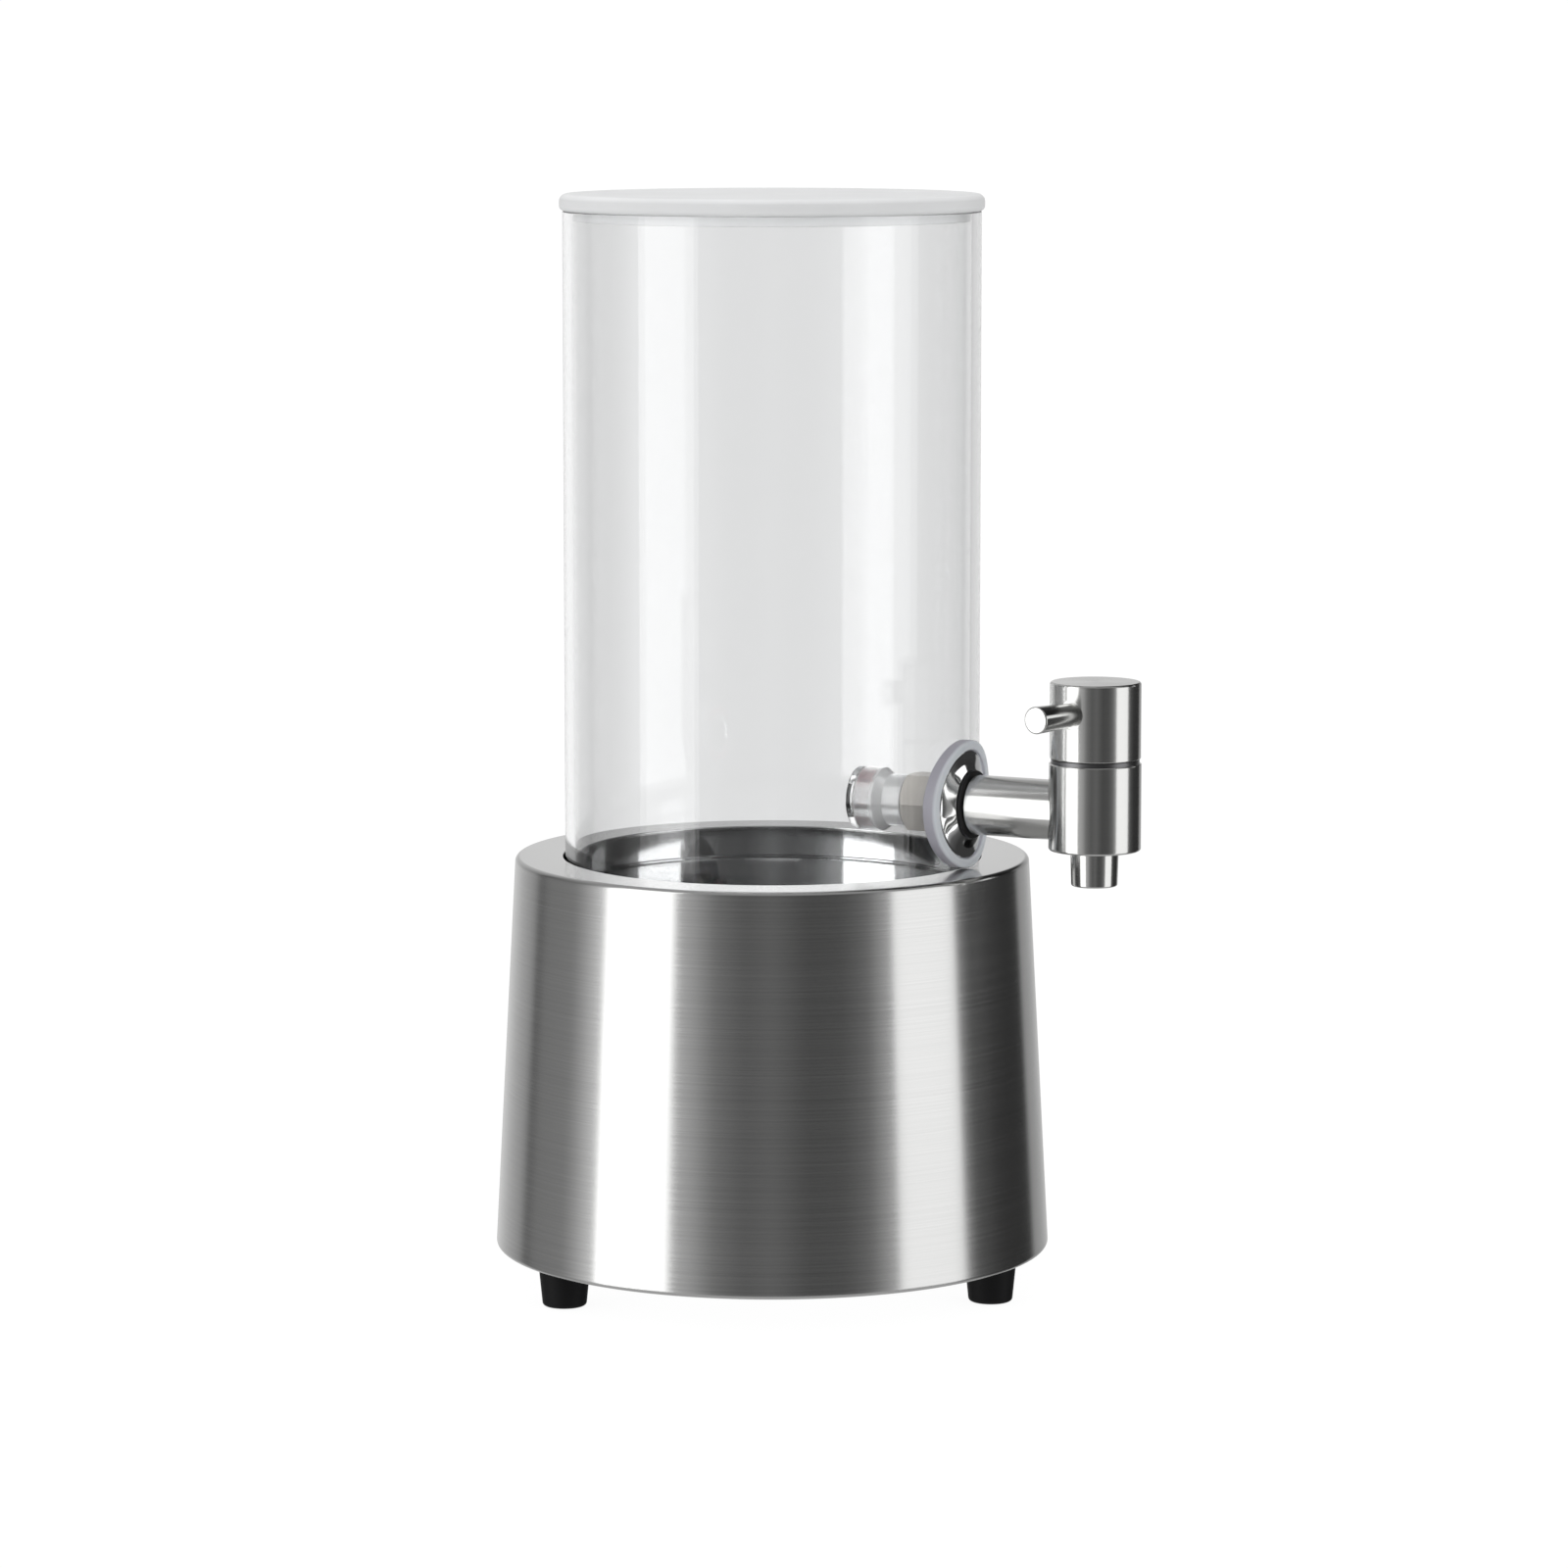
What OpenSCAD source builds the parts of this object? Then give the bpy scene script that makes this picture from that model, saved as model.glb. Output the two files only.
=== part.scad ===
// Table-top drink tower: a clear tube with a side tap and a lid, standing in a tapered steel base
// Origin on the table below the tube's axis, +Z up, +X out of the tube along the tap's pipe

/* [Base] */
// Diameter of the base at its top edge
base_top_d = 160.3; // [150:0.1:200]
// Width of the shell's top ring, from the recess to its edge
ring_w = 14.9; // [10:0.1:20]
// Diameter of the base at its bottom edge
base_bottom_d = 173.8; // [165:0.1:220]
// Height of the base shell, without its feet
base_h = 122.9; // [60:0.1:180]
// Sheet thickness of the base shell
base_sheet = 1; // [0.6:0.1:1.2]
// Radius of the shell's outer edges
base_edge_r = 1.5; // [1.25:0.05:4]
// Radius of the inner edge of the shell's top ring
ring_edge_r = 0.4; // [0.1:0.1:0.5]
// Width of the shell's turned-in bottom lip
lip_w = 2.6; // [2:0.1:6]
// Depth of the recess that the tube stands in
seat_depth = 13; // [6:0.5:40]
// Gap around the tube in its recess
seat_clearance = 0.65; // [0.5:0.05:2]
// Sheet thickness of the recess bowl
bowl_sheet = 0.8; // [0.5:0.1:1.5]
// Width of the bowl's flange below the shell's top ring
bowl_flange_w = 7; // [3:0.5:9]
// Inside corner radius of the bowl
bowl_corner_r = 0.4; // [0.1:0.1:0.45]
// Sheet thickness of the bottom plate
plate_sheet = 1; // [0.6:0.1:2]
// Gap between the bottom plate and the lip's edge
plate_gap = 0.3; // [0.2:0.1:1]
// Width of the plate's rim over the lip
plate_rim_w = 1.1; // [0.6:0.1:1.3]

/* [Feet] */
// Height of each foot
foot_h = 11.6; // [9:0.1:30]
// Diameter of a foot at the bottom plate
foot_top_d = 15.8; // [14:0.1:30]
// Diameter of a foot at the table
foot_bottom_d = 13.5; // [12:0.1:26]
// Radius of a foot's lower edge
foot_edge_r = 1.2; // [0.2:0.1:1.8]
// Distance from a foot to the edge of the plate's flat part
foot_inset = 0.1; // [0:0.1:20]
// Depth of the screw recess in a foot
foot_recess = 6.5; // [5:0.1:8]
// Diameter of the screw recess in a foot
foot_recess_d = 7.8; // [7.7:0.1:9]
// Diameter of the foot screws
screw_d = 4; // [3:0.1:4.5]
// Diameter of a screw's head
screw_head_d = 6.8; // [6:0.1:7.4]
// Height of a screw's head
screw_head_h = 2.4; // [1.5:0.1:3]
// Width of the cross slot in a screw's head
screw_slot_w = 0.9; // [0.5:0.1:1.4]
// Depth of the cross slot in a screw's head
screw_slot_depth = 1.2; // [0.5:0.1:1.4]
// Length of screw that stands past its nut
screw_past_nut = 1.6; // [0.5:0.1:6]
// Thickness of a foot washer
foot_washer_t = 0.8; // [0.5:0.1:1.2]
// Diameter of a foot washer
foot_washer_d = 7.5; // [6.5:0.1:7.6]
// Width across flats of a foot nut
foot_nut_af = 7; // [6:0.1:12]
// Height of a foot nut
foot_nut_h = 3.2; // [2:0.1:6]
// Gap around the foot screws in the plate
screw_clearance = 0.2; // [0.1:0.05:0.4]

/* [Tube] */
// Wall thickness of the tube
tube_wall = 3; // [2:0.1:5]
// Length of the tube above its floor
tube_h = 210.3; // [150:0.1:500]
// Thickness of the tube's floor
floor_t = 3; // [2:0.1:6]

/* [Lid] */
// How far the lid's rim stands past the tube
lid_overhang = 1; // [0.4:0.1:15]
// Thickness of the lid's rim
lid_t = 5.2; // [4.3:0.1:10]
// Thickness of the lid's middle
lid_panel_t = 2.8; // [1.5:0.1:3.5]
// Radius of the rim's upper edge
lid_top_r = 2.4; // [0.5:0.1:2.5]
// Radius of the rim's lower edge
lid_under_r = 1.6; // [0.5:0.1:1.7]
// Depth of the lip that plugs the tube
lid_lip_h = 3.1; // [2.4:0.1:15]
// Wall thickness of the lip
lid_lip_wall = 2.5; // [1.5:0.1:5]
// Radius of the lip's lower edges
lid_lip_r = 0.6; // [0.1:0.1:0.7]
// Gap between the lip and the tube
lid_lip_gap = 0.4; // [0.2:0.05:1.5]

/* [Tap mounting] */
// Diameter of the outer gasket
gasket_d = 39.4; // [32:0.1:50]
// Thickness of the outer gasket's rim
gasket_t = 4; // [2.9:0.1:8]
// Width of the outer gasket's rim
gasket_rim_w = 2.9; // [1.5:0.1:3.6]
// Thickness of the gasket's web below the flange
gasket_web = 1.2; // [0.8:0.1:2]
// Gap between the gasket and the base
gasket_gap = 0.3; // [0.3:0.1:60]
// Sheet thickness of the tap's flange
flange_sheet = 0.9; // [0.5:0.1:1.2]
// Height of the flange's rim
flange_rim_h = 1.5; // [1.3:0.1:2.5]
// Width of the flange's rim
flange_rim_w = 0.9; // [0.5:0.1:1.5]
// Height of the flange's hub over the gasket's web
hub_h = 2.8; // [2:0.1:6]
// Width of the flange's hub around the pipe
hub_edge = 0.5; // [0.2:0.1:1.8]
// Thickness of the rubber washer below the pipe
pipe_washer_t = 1.3; // [0.8:0.1:3]
// Width of the rubber washer that shows around the pipe
pipe_washer_edge = 1.3; // [0.4:0.1:1.8]
// Diameter of the threaded shank
shank_d = 13.6; // [11.2:0.1:16.4]
// Diameter of the bore that the drink runs through
flow_d = 9; // [6:0.1:9.8]
// Depth of the shank's thread
thread_depth = 0.5; // [0.3:0.05:0.7]
// Pitch of the shank's thread
thread_pitch = 1.5; // [1:0.1:3]
// Gap around the shank in the tube's wall
shank_clearance = 0.4; // [0.2:0.1:1]
// Depth of the socket that holds the shank in the pipe
shank_socket = 11; // [6:0.5:14]
// Diameter of the gasket inside the tube
inner_gasket_d = 22; // [20:0.1:30]
// Thickness of the inner gasket on the tap's axis
inner_gasket_t = 4.6; // [3.2:0.1:8]
// Width across flats of the clamp nut
clamp_nut_af = 17; // [16:0.1:24]
// Height of the clamp nut
clamp_nut_h = 9; // [5:0.1:14]

/* [Inlet] */
// Length of the inlet barrel with its cap
inlet_l = 17.5; // [15.5:0.1:24]
// Diameter of the inlet barrel's collar
inlet_collar_d = 19.6; // [18.6:0.1:26]
// Diameter of the inlet barrel's neck
inlet_neck_d = 16; // [15:0.1:18]
// Length of the inlet's collar, with its cap
inlet_collar_l = 9; // [8.8:0.1:10.5]
// Length of the slope from collar to neck
inlet_slope_l = 2.4; // [1:0.1:4]
// Thickness of the inlet's end cap
inlet_cap_t = 2.6; // [1:0.1:3]
// Radius of the end cap's edge
inlet_cap_r = 0.8; // [0.2:0.1:0.9]
// Length of the red seal
inlet_seal_l = 5.4; // [3:0.1:5.6]
// Wall thickness of the collar around the red seal
inlet_collar_wall = 0.9; // [0.6:0.1:1.2]

/* [Tap] */
// Distance from the tube's outside to the tap's axis
tap_reach = 45.6; // [36:0.1:100]
// Diameter of the tap's pipe
pipe_d = 18.4; // [16.8:0.1:22]
// Diameter of the tap's body
body_d = 28.1; // [26:0.1:40]
// Body height below the pipe
body_below = 2.2; // [2:0.1:12]
// Body height above the pipe
body_above = 6.1; // [3.6:0.1:12]
// Radius of the body's lower edge
body_edge_r = 0.8; // [0.1:0.1:1]
// Wall thickness of the body around the valve
body_wall = 4.1; // [3.4:0.1:5]
// Thickness of the body's floor below the valve
body_floor_t = 1.2; // [0.8:0.1:1.8]
// Wall thickness of the pipe's spigot in the body
spigot_wall = 1.4; // [0.8:0.1:3]
// Length of the nozzle below the body
nozzle_l = 10.9; // [4:0.1:30]
// Diameter of the nozzle at the body
nozzle_top_d = 14.7; // [13:0.1:18]
// Diameter of the nozzle at its mouth
nozzle_mouth_d = 14.1; // [12.4:0.1:17]
// Radius of the nozzle's lower edge
nozzle_edge_r = 0.6; // [0.1:0.1:0.7]
// Bore of the nozzle
nozzle_bore_d = 10; // [8:0.1:10.4]
// Wall thickness of the nozzle's threaded spigot
nozzle_spigot_wall = 1; // [0.6:0.1:1.2]
// Thickness of the nozzle's seal
nozzle_seal_t = 0.8; // [0.5:0.1:1]

/* [Valve] */
// Wall thickness of the valve's sleeve
sleeve_wall = 1.4; // [1:0.1:2]
// Thickness of the sleeve's floor
sleeve_floor_t = 0.8; // [0.5:0.1:1]
// Diameter of the ports in the plug
port_d = 8; // [5:0.1:9.4]
// Height of plug below its side port
plug_land = 1.2; // [0.6:0.1:1.6]
// Diameter of the plug's stem
stem_d = 10; // [8.4:0.1:12]
// Height of stem above the lever's axis
stem_past_lever = 4.5; // [3.8:0.1:6]
// Depth to which the stem's round part enters the handle
stem_entry = 2; // [0.5:0.1:6]
// Diameter of the stem seal's cord
stem_seal_d = 1.2; // [1:0.1:1.6]
// Height of the bonnet nut's thread
bonnet_thread_h = 4.7; // [3:0.1:5.6]
// Width of the bonnet nut's thread outside the sleeve
bonnet_step = 1; // [0.5:0.1:1.8]
// Height of the bonnet nut's neck, seen as the groove below the handle
groove_h = 1.2; // [1:0.1:6]
// Depth of the groove below the handle
groove_depth = 0.6; // [0.5:0.1:1.6]

/* [Handle] */
// Height of the handle
handle_h = 23.4; // [20:0.1:60]
// Step from the body's side to the handle's side
handle_step = 0.2; // [0.1:0.1:1]
// Radius of the handle's upper edge
handle_edge_r = 0.8; // [0.1:0.1:2]
// Depth of the lever's axis below the handle's top
lever_drop = 9; // [7:0.1:12]
// Turn of the lever towards the tube, from the line across the pipe
lever_turn = 11; // [0:1:40]
// Length of the lever outside the handle
lever_l = 17.3; // [10:0.1:60]
// Diameter of the lever at its root
lever_root_d = 7.2; // [6:0.1:9]
// Diameter of the lever at its end
lever_end_d = 8.3; // [7:0.1:12]
// Radius of the lever's end edge
lever_edge_r = 0.5; // [0.1:0.1:1.5]
// Diameter of the lever's threaded root
lever_thread_d = 5; // [4:0.1:5.8]
// Depth of the recess around the lever
lever_recess = 1; // [0.3:0.1:2]
// Gap around the lever in its recess
lever_recess_gap = 0.9; // [0.3:0.1:1.2]
// Length of lever past the stem's axis
lever_past_stem = 1.5; // [0.5:0.1:2.5]

/* [Hidden] */
// Number of feet
feet = 3;
$fn = 96;

// Steps in each rounded corner
corner_steps = 6;
// Overrun of cuts past the face that they open
overrun = 1;
// Gap of screwed and seated pieces, gap of turning pieces, and gap below the handle
fit_gap = 0.05;
run_gap = 0.05;
handle_gap = 0.2;
plug_gap = 0.15;
// Gap between saddle faces that lie on each other
saddle_gap = 0.1;
// Gap between the clamp nut and the inlet's barrel
inlet_gap = 0.3;
// Share of the stem's diameter that its square drive has
square_share = 0.68;
// Share of a screw head's diameter that its slot has
slot_share = 0.7;
// Shares of the thread's pitch at which its crest starts and ends
crest_start_share = 0.4;
crest_end_share = 0.6;
// Share of the pipe washer's thickness that rounds its edge
washer_edge_share = 0.25;

// Base: radii and heights
base_top = foot_h + base_h;
ring_under = base_top - base_sheet;
base_top_r = base_top_d / 2;
base_bottom_r = base_bottom_d / 2;
seat_r = base_top_r - ring_w;
tube_r = seat_r - seat_clearance;
tube_in_r = tube_r - tube_wall;
seat_z = base_top - seat_depth;
lip_r = base_bottom_r - lip_w;
lip_top = foot_h + base_sheet;
plate_r = lip_r - plate_gap;
plate_top = foot_h + plate_sheet;

// Feet and their screws
foot_circle_r = plate_r - foot_top_d / 2 - foot_inset;
screw_r = screw_d / 2;
washer_z = foot_recess - foot_washer_t;
screw_top = plate_top + foot_nut_h + screw_past_nut;

// Tube and lid
tube_z = seat_z + floor_t;
tube_top = tube_z + tube_h;
lid_top = tube_top + lid_t;
lid_r = tube_r + lid_overhang;
lip_out_r = tube_in_r - lid_lip_gap;
lip_in_r = lip_out_r - lid_lip_wall;

// Tap mounting: distances along the pipe from the tube's axis
gasket_r = gasket_d / 2;
tap_z = base_top + gasket_gap + gasket_r;
pocket_r = gasket_r - gasket_rim_w;
flange_r = pocket_r - saddle_gap;
web_r = tube_r + saddle_gap + gasket_web;
flange_back_r = web_r + saddle_gap;
hub_x = flange_back_r + hub_h;
pipe_r = pipe_d / 2;
pipe_x = hub_x + pipe_washer_t;
washer_r = pipe_r + pipe_washer_edge;
hub_r = washer_r + hub_edge;
shank_r = shank_d / 2;
shank_hole_r = shank_r + fit_gap;
flow_r = flow_d / 2;
saddle_h = gasket_r + overrun;
saddle_reach = tube_r + gasket_t + overrun;
inner_face_r = tube_in_r - saddle_gap;
nut_x = inner_face_r - inner_gasket_t;
inlet_end_x = nut_x - clamp_nut_h - inlet_gap;
inlet_x = inlet_end_x - inlet_l;
cap_x = inlet_x + inlet_cap_t;
seal_end_x = cap_x + inlet_seal_l;
seal_r = inlet_collar_d / 2 - inlet_collar_wall;
socket_x = pipe_x + shank_socket;

// Tap: radii and heights about its own axis
tap_x = tube_r + tap_reach;
body_r = body_d / 2;
body_bottom = tap_z - pipe_r - body_below;
body_top = tap_z + pipe_r + body_above;
sleeve_hole_r = body_r - body_wall;
sleeve_r = sleeve_hole_r - fit_gap;
plug_hole_r = sleeve_r - sleeve_wall;
plug_r = plug_hole_r - run_gap;
port_r = port_d / 2;
plug_z = tap_z - port_r - plug_land;
sleeve_floor = plug_z - run_gap;
sleeve_z = sleeve_floor - sleeve_floor_t;
nozzle_seat = sleeve_z - body_floor_t;
nozzle_top = nozzle_seat - nozzle_seal_t;
nozzle_z = body_bottom - nozzle_l;
nozzle_bore_r = nozzle_bore_d / 2;
nozzle_spigot_r = nozzle_bore_r + nozzle_spigot_wall;
spigot_r = flow_r + spigot_wall;
bonnet_z = body_top - bonnet_thread_h;
bonnet_hole_r = sleeve_hole_r + bonnet_step;
plug_top = bonnet_z - plug_gap;
stem_r = stem_d / 2;
stem_hole_r = stem_r + run_gap;
seal_z = bonnet_z + bonnet_thread_h / 2;
seal_ring_r = stem_r - stem_seal_d / 2;
neck_top = body_top + groove_h;

// Handle
handle_z = neck_top + handle_gap;
handle_r = body_r - handle_step;
handle_top = handle_z + handle_h;
lever_z = handle_top - lever_drop;
stem_top = lever_z + stem_past_lever;
square_w = stem_d * square_share;
lever_thread_r = lever_thread_d / 2;
lever_root = handle_r - lever_recess;
lever_end = handle_r + lever_l;

// A vector of length one
function unit(v) = v / norm(v);

// A vector turned by an angle
function turned_by(v, a) = [v[0] * cos(a) - v[1] * sin(a), v[0] * sin(a) + v[1] * cos(a)];

// Points of the arc of radius r that replaces the corner b between a and c
function corner(a, b, c, r) =
    r == 0 ? [b]
    : let (
        u = unit(a - b),
        w = unit(c - b),
        half = acos(u * w) / 2,
        centre = b + unit(u + w) * (r / sin(half)),
        start = b + u * (r / tan(half)) - centre,
        sweep = sign(cross(b - a, c - b)) * (180 - 2 * half)
    )
    [for (i = [0:corner_steps]) centre + turned_by(start, sweep * i / corner_steps)];

// Outline through points given as x, y and the corner's radius
function rounded(pts) = [
    for (i = [0:len(pts) - 1])
        let (
            n = len(pts),
            a = pts[(i + n - 1) % n],
            b = pts[i],
            c = pts[(i + 1) % n]
        )
        each corner([a[0], a[1]], [b[0], b[1]], [c[0], c[1]], b[2])
];

// A solid turned about its own Z axis from an outline of radius, height and corner radius
module turned(pts) {
    rotate_extrude() polygon(rounded(pts));
}

// Places what stands on Z so that it runs along the tap's pipe, from a distance x
module along_pipe(x) {
    translate([x, 0, tap_z]) rotate([0, 90, 0]) children();
}

// Places what stands on Z on the tap's own axis
module on_tap(z = 0) {
    translate([tap_x, 0, z]) children();
}

// Places what stands on Z so that it runs along the lever, away from the tap's axis
module along_lever() {
    on_tap(lever_z) rotate([90, 0, -lever_turn]) children();
}

// A round bar about the tube's axis at the tap's height, for faces that fit the tube
module tube_round(r) {
    translate([0, 0, tap_z - saddle_h]) cylinder(r = r, h = 2 * saddle_h);
}

// Copies of a piece at each foot
module at_feet() {
    for (i = [0:feet - 1]) at_foot(i) children();
}

module at_foot(i) {
    rotate([0, 0, i * 360 / feet]) translate([foot_circle_r, 0, 0]) children();
}

// Tapered steel shell with its top ring and bottom lip turned in
module base_shell() {
    color("silver")
        turned([
            [lip_r, foot_h, 0],
            [base_bottom_r, foot_h, base_edge_r],
            [base_top_r, base_top, base_edge_r],
            [seat_r, base_top, ring_edge_r],
            [seat_r, ring_under, 0],
            [base_top_r - base_sheet, ring_under, base_edge_r - base_sheet],
            [base_bottom_r - base_sheet, lip_top, base_edge_r - base_sheet],
            [lip_r, lip_top, 0]
        ]);
}

// Polished bowl below the ring, which the tube stands in
module seat_bowl() {
    color("lightgray")
        turned([
            [0, seat_z, 0],
            [seat_r, seat_z, bowl_corner_r],
            [seat_r, ring_under, 0],
            [seat_r + bowl_flange_w, ring_under, 0],
            [seat_r + bowl_flange_w, ring_under - bowl_sheet, 0],
            [seat_r + bowl_sheet, ring_under - bowl_sheet, 0],
            [seat_r + bowl_sheet, seat_z - bowl_sheet, bowl_corner_r],
            [0, seat_z - bowl_sheet, 0]
        ]);
}

// Pressed plate that closes the base and carries the feet, with its rim over the shell's lip
module bottom_plate() {
    rim_r = lip_r + plate_rim_w;
    step_r = plate_r - plate_sheet;
    color("darkgray")
        difference() {
            turned([
                [0, foot_h, 0],
                [plate_r, foot_h, 0],
                [plate_r, lip_top, 0],
                [rim_r, lip_top, 0],
                [rim_r, lip_top + plate_sheet, 0],
                [step_r, lip_top + plate_sheet, 0],
                [step_r, plate_top, 0],
                [0, plate_top, 0]
            ]);
            at_feet()
                translate([0, 0, foot_h - overrun])
                    cylinder(r = screw_r + screw_clearance, h = plate_sheet + 2 * overrun);
        }
}

// Tapered rubber foot with a recess for its screw
module foot(i) {
    color("black")
        at_foot(i)
            turned([
                [foot_bottom_d / 2, 0, foot_edge_r],
                [foot_top_d / 2, foot_h, 0],
                [screw_r + fit_gap, foot_h, 0],
                [screw_r + fit_gap, foot_recess, 0],
                [foot_recess_d / 2, foot_recess, 0],
                [foot_recess_d / 2, 0, 0]
            ]);
}

// Washers between the screw heads and the rubber
module foot_washers() {
    color("gray")
        at_feet()
            translate([0, 0, washer_z])
                difference() {
                    cylinder(d = foot_washer_d, h = foot_washer_t);
                    translate([0, 0, -overrun])
                        cylinder(r = screw_r + fit_gap, h = foot_washer_t + 2 * overrun);
                }
}

// Screws with a cross slot, up through each foot and the plate
module foot_screws() {
    head_z = washer_z - screw_head_h;
    slot_l = screw_head_d * slot_share;
    color("gray")
        at_feet()
            difference() {
                union() {
                    translate([0, 0, head_z]) cylinder(d = screw_head_d, h = screw_head_h);
                    translate([0, 0, head_z]) cylinder(r = screw_r, h = screw_top - head_z);
                }
                for (a = [0, 90])
                    rotate([0, 0, a])
                        translate([-slot_l / 2, -screw_slot_w / 2, head_z - overrun])
                            cube([slot_l, screw_slot_w, screw_slot_depth + overrun]);
            }
}

// Hexagon nuts on the inside of the plate
module foot_nuts() {
    color("gray")
        at_feet()
            translate([0, 0, plate_top])
                difference() {
                    cylinder(d = foot_nut_af / cos(30), h = foot_nut_h, $fn = 6);
                    translate([0, 0, -overrun])
                        cylinder(r = screw_r + fit_gap, h = foot_nut_h + 2 * overrun);
                }
}

// Clear tube with the hole for the tap's shank
module tube() {
    color("lightcyan", 0.4)
        difference() {
            translate([0, 0, tube_z]) cylinder(r = tube_r, h = tube_h);
            translate([0, 0, tube_z - overrun]) cylinder(r = tube_in_r, h = tube_h + 2 * overrun);
            along_pipe(0) cylinder(r = shank_r + shank_clearance, h = tube_r + overrun);
        }
}

// Clear disc bonded below the tube
module tube_floor() {
    color("lightcyan", 0.4)
        translate([0, 0, seat_z]) cylinder(r = tube_r, h = floor_t);
}

// Silicone cup between the tube and the tap's flange, curved to the tube
module outer_gasket() {
    color("slategray")
        difference() {
            intersection() {
                along_pipe(0) cylinder(r = gasket_r, h = saddle_reach);
                tube_round(tube_r + gasket_t);
            }
            tube_round(tube_r + saddle_gap);
            difference() {
                along_pipe(0) cylinder(r = pocket_r, h = saddle_reach);
                tube_round(web_r);
            }
            along_pipe(0) cylinder(r = shank_r + shank_clearance, h = saddle_reach);
        }
}

// Chrome dish in the gasket, with a raised rim and a flat hub for the pipe
module tap_flange() {
    color("gainsboro")
        difference() {
            union() {
                intersection() {
                    along_pipe(0) cylinder(r = flange_r, h = saddle_reach);
                    tube_round(flange_back_r + flange_sheet);
                }
                intersection() {
                    along_pipe(0) cylinder(r = flange_r, h = saddle_reach);
                    difference() {
                        tube_round(flange_back_r + flange_rim_h);
                        along_pipe(0) cylinder(r = flange_r - flange_rim_w, h = saddle_reach);
                    }
                }
                along_pipe(0) cylinder(r = hub_r, h = hub_x);
            }
            tube_round(flange_back_r);
            along_pipe(0) cylinder(r = shank_hole_r, h = hub_x + overrun);
        }
}

// Rubber washer that shows as a dark ring around the pipe's root
module pipe_washer() {
    color("black")
        along_pipe(0)
            turned([
                [shank_hole_r, hub_x, 0],
                [washer_r, hub_x, pipe_washer_t * washer_edge_share],
                [washer_r, pipe_x, pipe_washer_t * washer_edge_share],
                [shank_hole_r, pipe_x, 0]
            ]);
}

// Pipe from the flange to the tap's body, with its spigot in the body
module tap_pipe() {
    color("silver")
        difference() {
            union() {
                difference() {
                    along_pipe(pipe_x) cylinder(r = pipe_r, h = tap_x - pipe_x);
                    on_tap(tap_z - pipe_d) cylinder(r = body_r + saddle_gap, h = 2 * pipe_d);
                }
                along_pipe(socket_x) cylinder(r = spigot_r, h = tap_x - socket_x);
            }
            on_tap(tap_z - pipe_d) cylinder(r = sleeve_r + saddle_gap, h = 2 * pipe_d);
            along_pipe(pipe_x - overrun) cylinder(r = shank_hole_r, h = shank_socket + overrun);
            along_pipe(pipe_x) cylinder(r = flow_r, h = tap_x - pipe_x);
        }
}

// Threaded steel tube that clamps the tap to the tube's wall
module shank() {
    first = cap_x + run_gap;
    last = socket_x - run_gap;
    teeth = floor((last - first) / thread_pitch);
    margin = (last - first - teeth * thread_pitch) / 2;
    root_r = shank_r - thread_depth;
    tooth = [[shank_r, crest_start_share], [shank_r, crest_end_share], [root_r, 1]];
    color("silver")
        along_pipe(0)
            rotate_extrude()
                polygon(concat(
                    [[flow_r, first], [root_r, first], [root_r, first + margin]],
                    [for (i = [0:teeth - 1], p = tooth)
                        [p[0], first + margin + (i + p[1]) * thread_pitch]],
                    [[root_r, last], [flow_r, last]]
                ));
}

// Hexagon nut that pulls the inner gasket against the wall
module clamp_nut() {
    color("rosybrown")
        along_pipe(nut_x - clamp_nut_h)
            difference() {
                cylinder(d = clamp_nut_af / cos(30), h = clamp_nut_h, $fn = 6);
                translate([0, 0, -overrun]) cylinder(r = shank_hole_r, h = clamp_nut_h + 2 * overrun);
            }
}

// Silicone washer inside the tube, with its outer face curved to the wall
module inner_gasket() {
    color("lightslategray")
        intersection() {
            along_pipe(nut_x)
                difference() {
                    cylinder(d = inner_gasket_d, h = inner_gasket_t + overrun);
                    translate([0, 0, -overrun])
                        cylinder(r = shank_hole_r, h = inner_gasket_t + 3 * overrun);
                }
            tube_round(inner_face_r);
        }
}

// Smoky barrel on the shank's inner end, with a collar around the red seal
module inlet_barrel() {
    collar_r = inlet_collar_d / 2;
    collar_end = inlet_x + inlet_collar_l;
    color("silver", 0.6)
        along_pipe(0)
            turned([
                [seal_r, cap_x, 0],
                [collar_r, cap_x, 0],
                [collar_r, collar_end, 0],
                [inlet_neck_d / 2, collar_end + inlet_slope_l, 0],
                [inlet_neck_d / 2, inlet_end_x, 0],
                [shank_hole_r, inlet_end_x, 0],
                [shank_hole_r, seal_end_x, 0],
                [seal_r, seal_end_x, 0]
            ]);
}

// Red seal between the shank and the barrel's collar
module inlet_seal() {
    color("indianred")
        along_pipe(0)
            turned([
                [shank_hole_r, cap_x, 0],
                [seal_r - fit_gap, cap_x, 0],
                [seal_r - fit_gap, seal_end_x, 0],
                [shank_hole_r, seal_end_x, 0]
            ]);
}

// Clear end cap with the hole that the drink enters by
module inlet_cap() {
    color("whitesmoke", 0.5)
        along_pipe(0)
            turned([
                [flow_r, inlet_x, 0],
                [inlet_collar_d / 2, inlet_x, inlet_cap_r],
                [inlet_collar_d / 2, cap_x, 0],
                [flow_r, cap_x, 0]
            ]);
}

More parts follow.
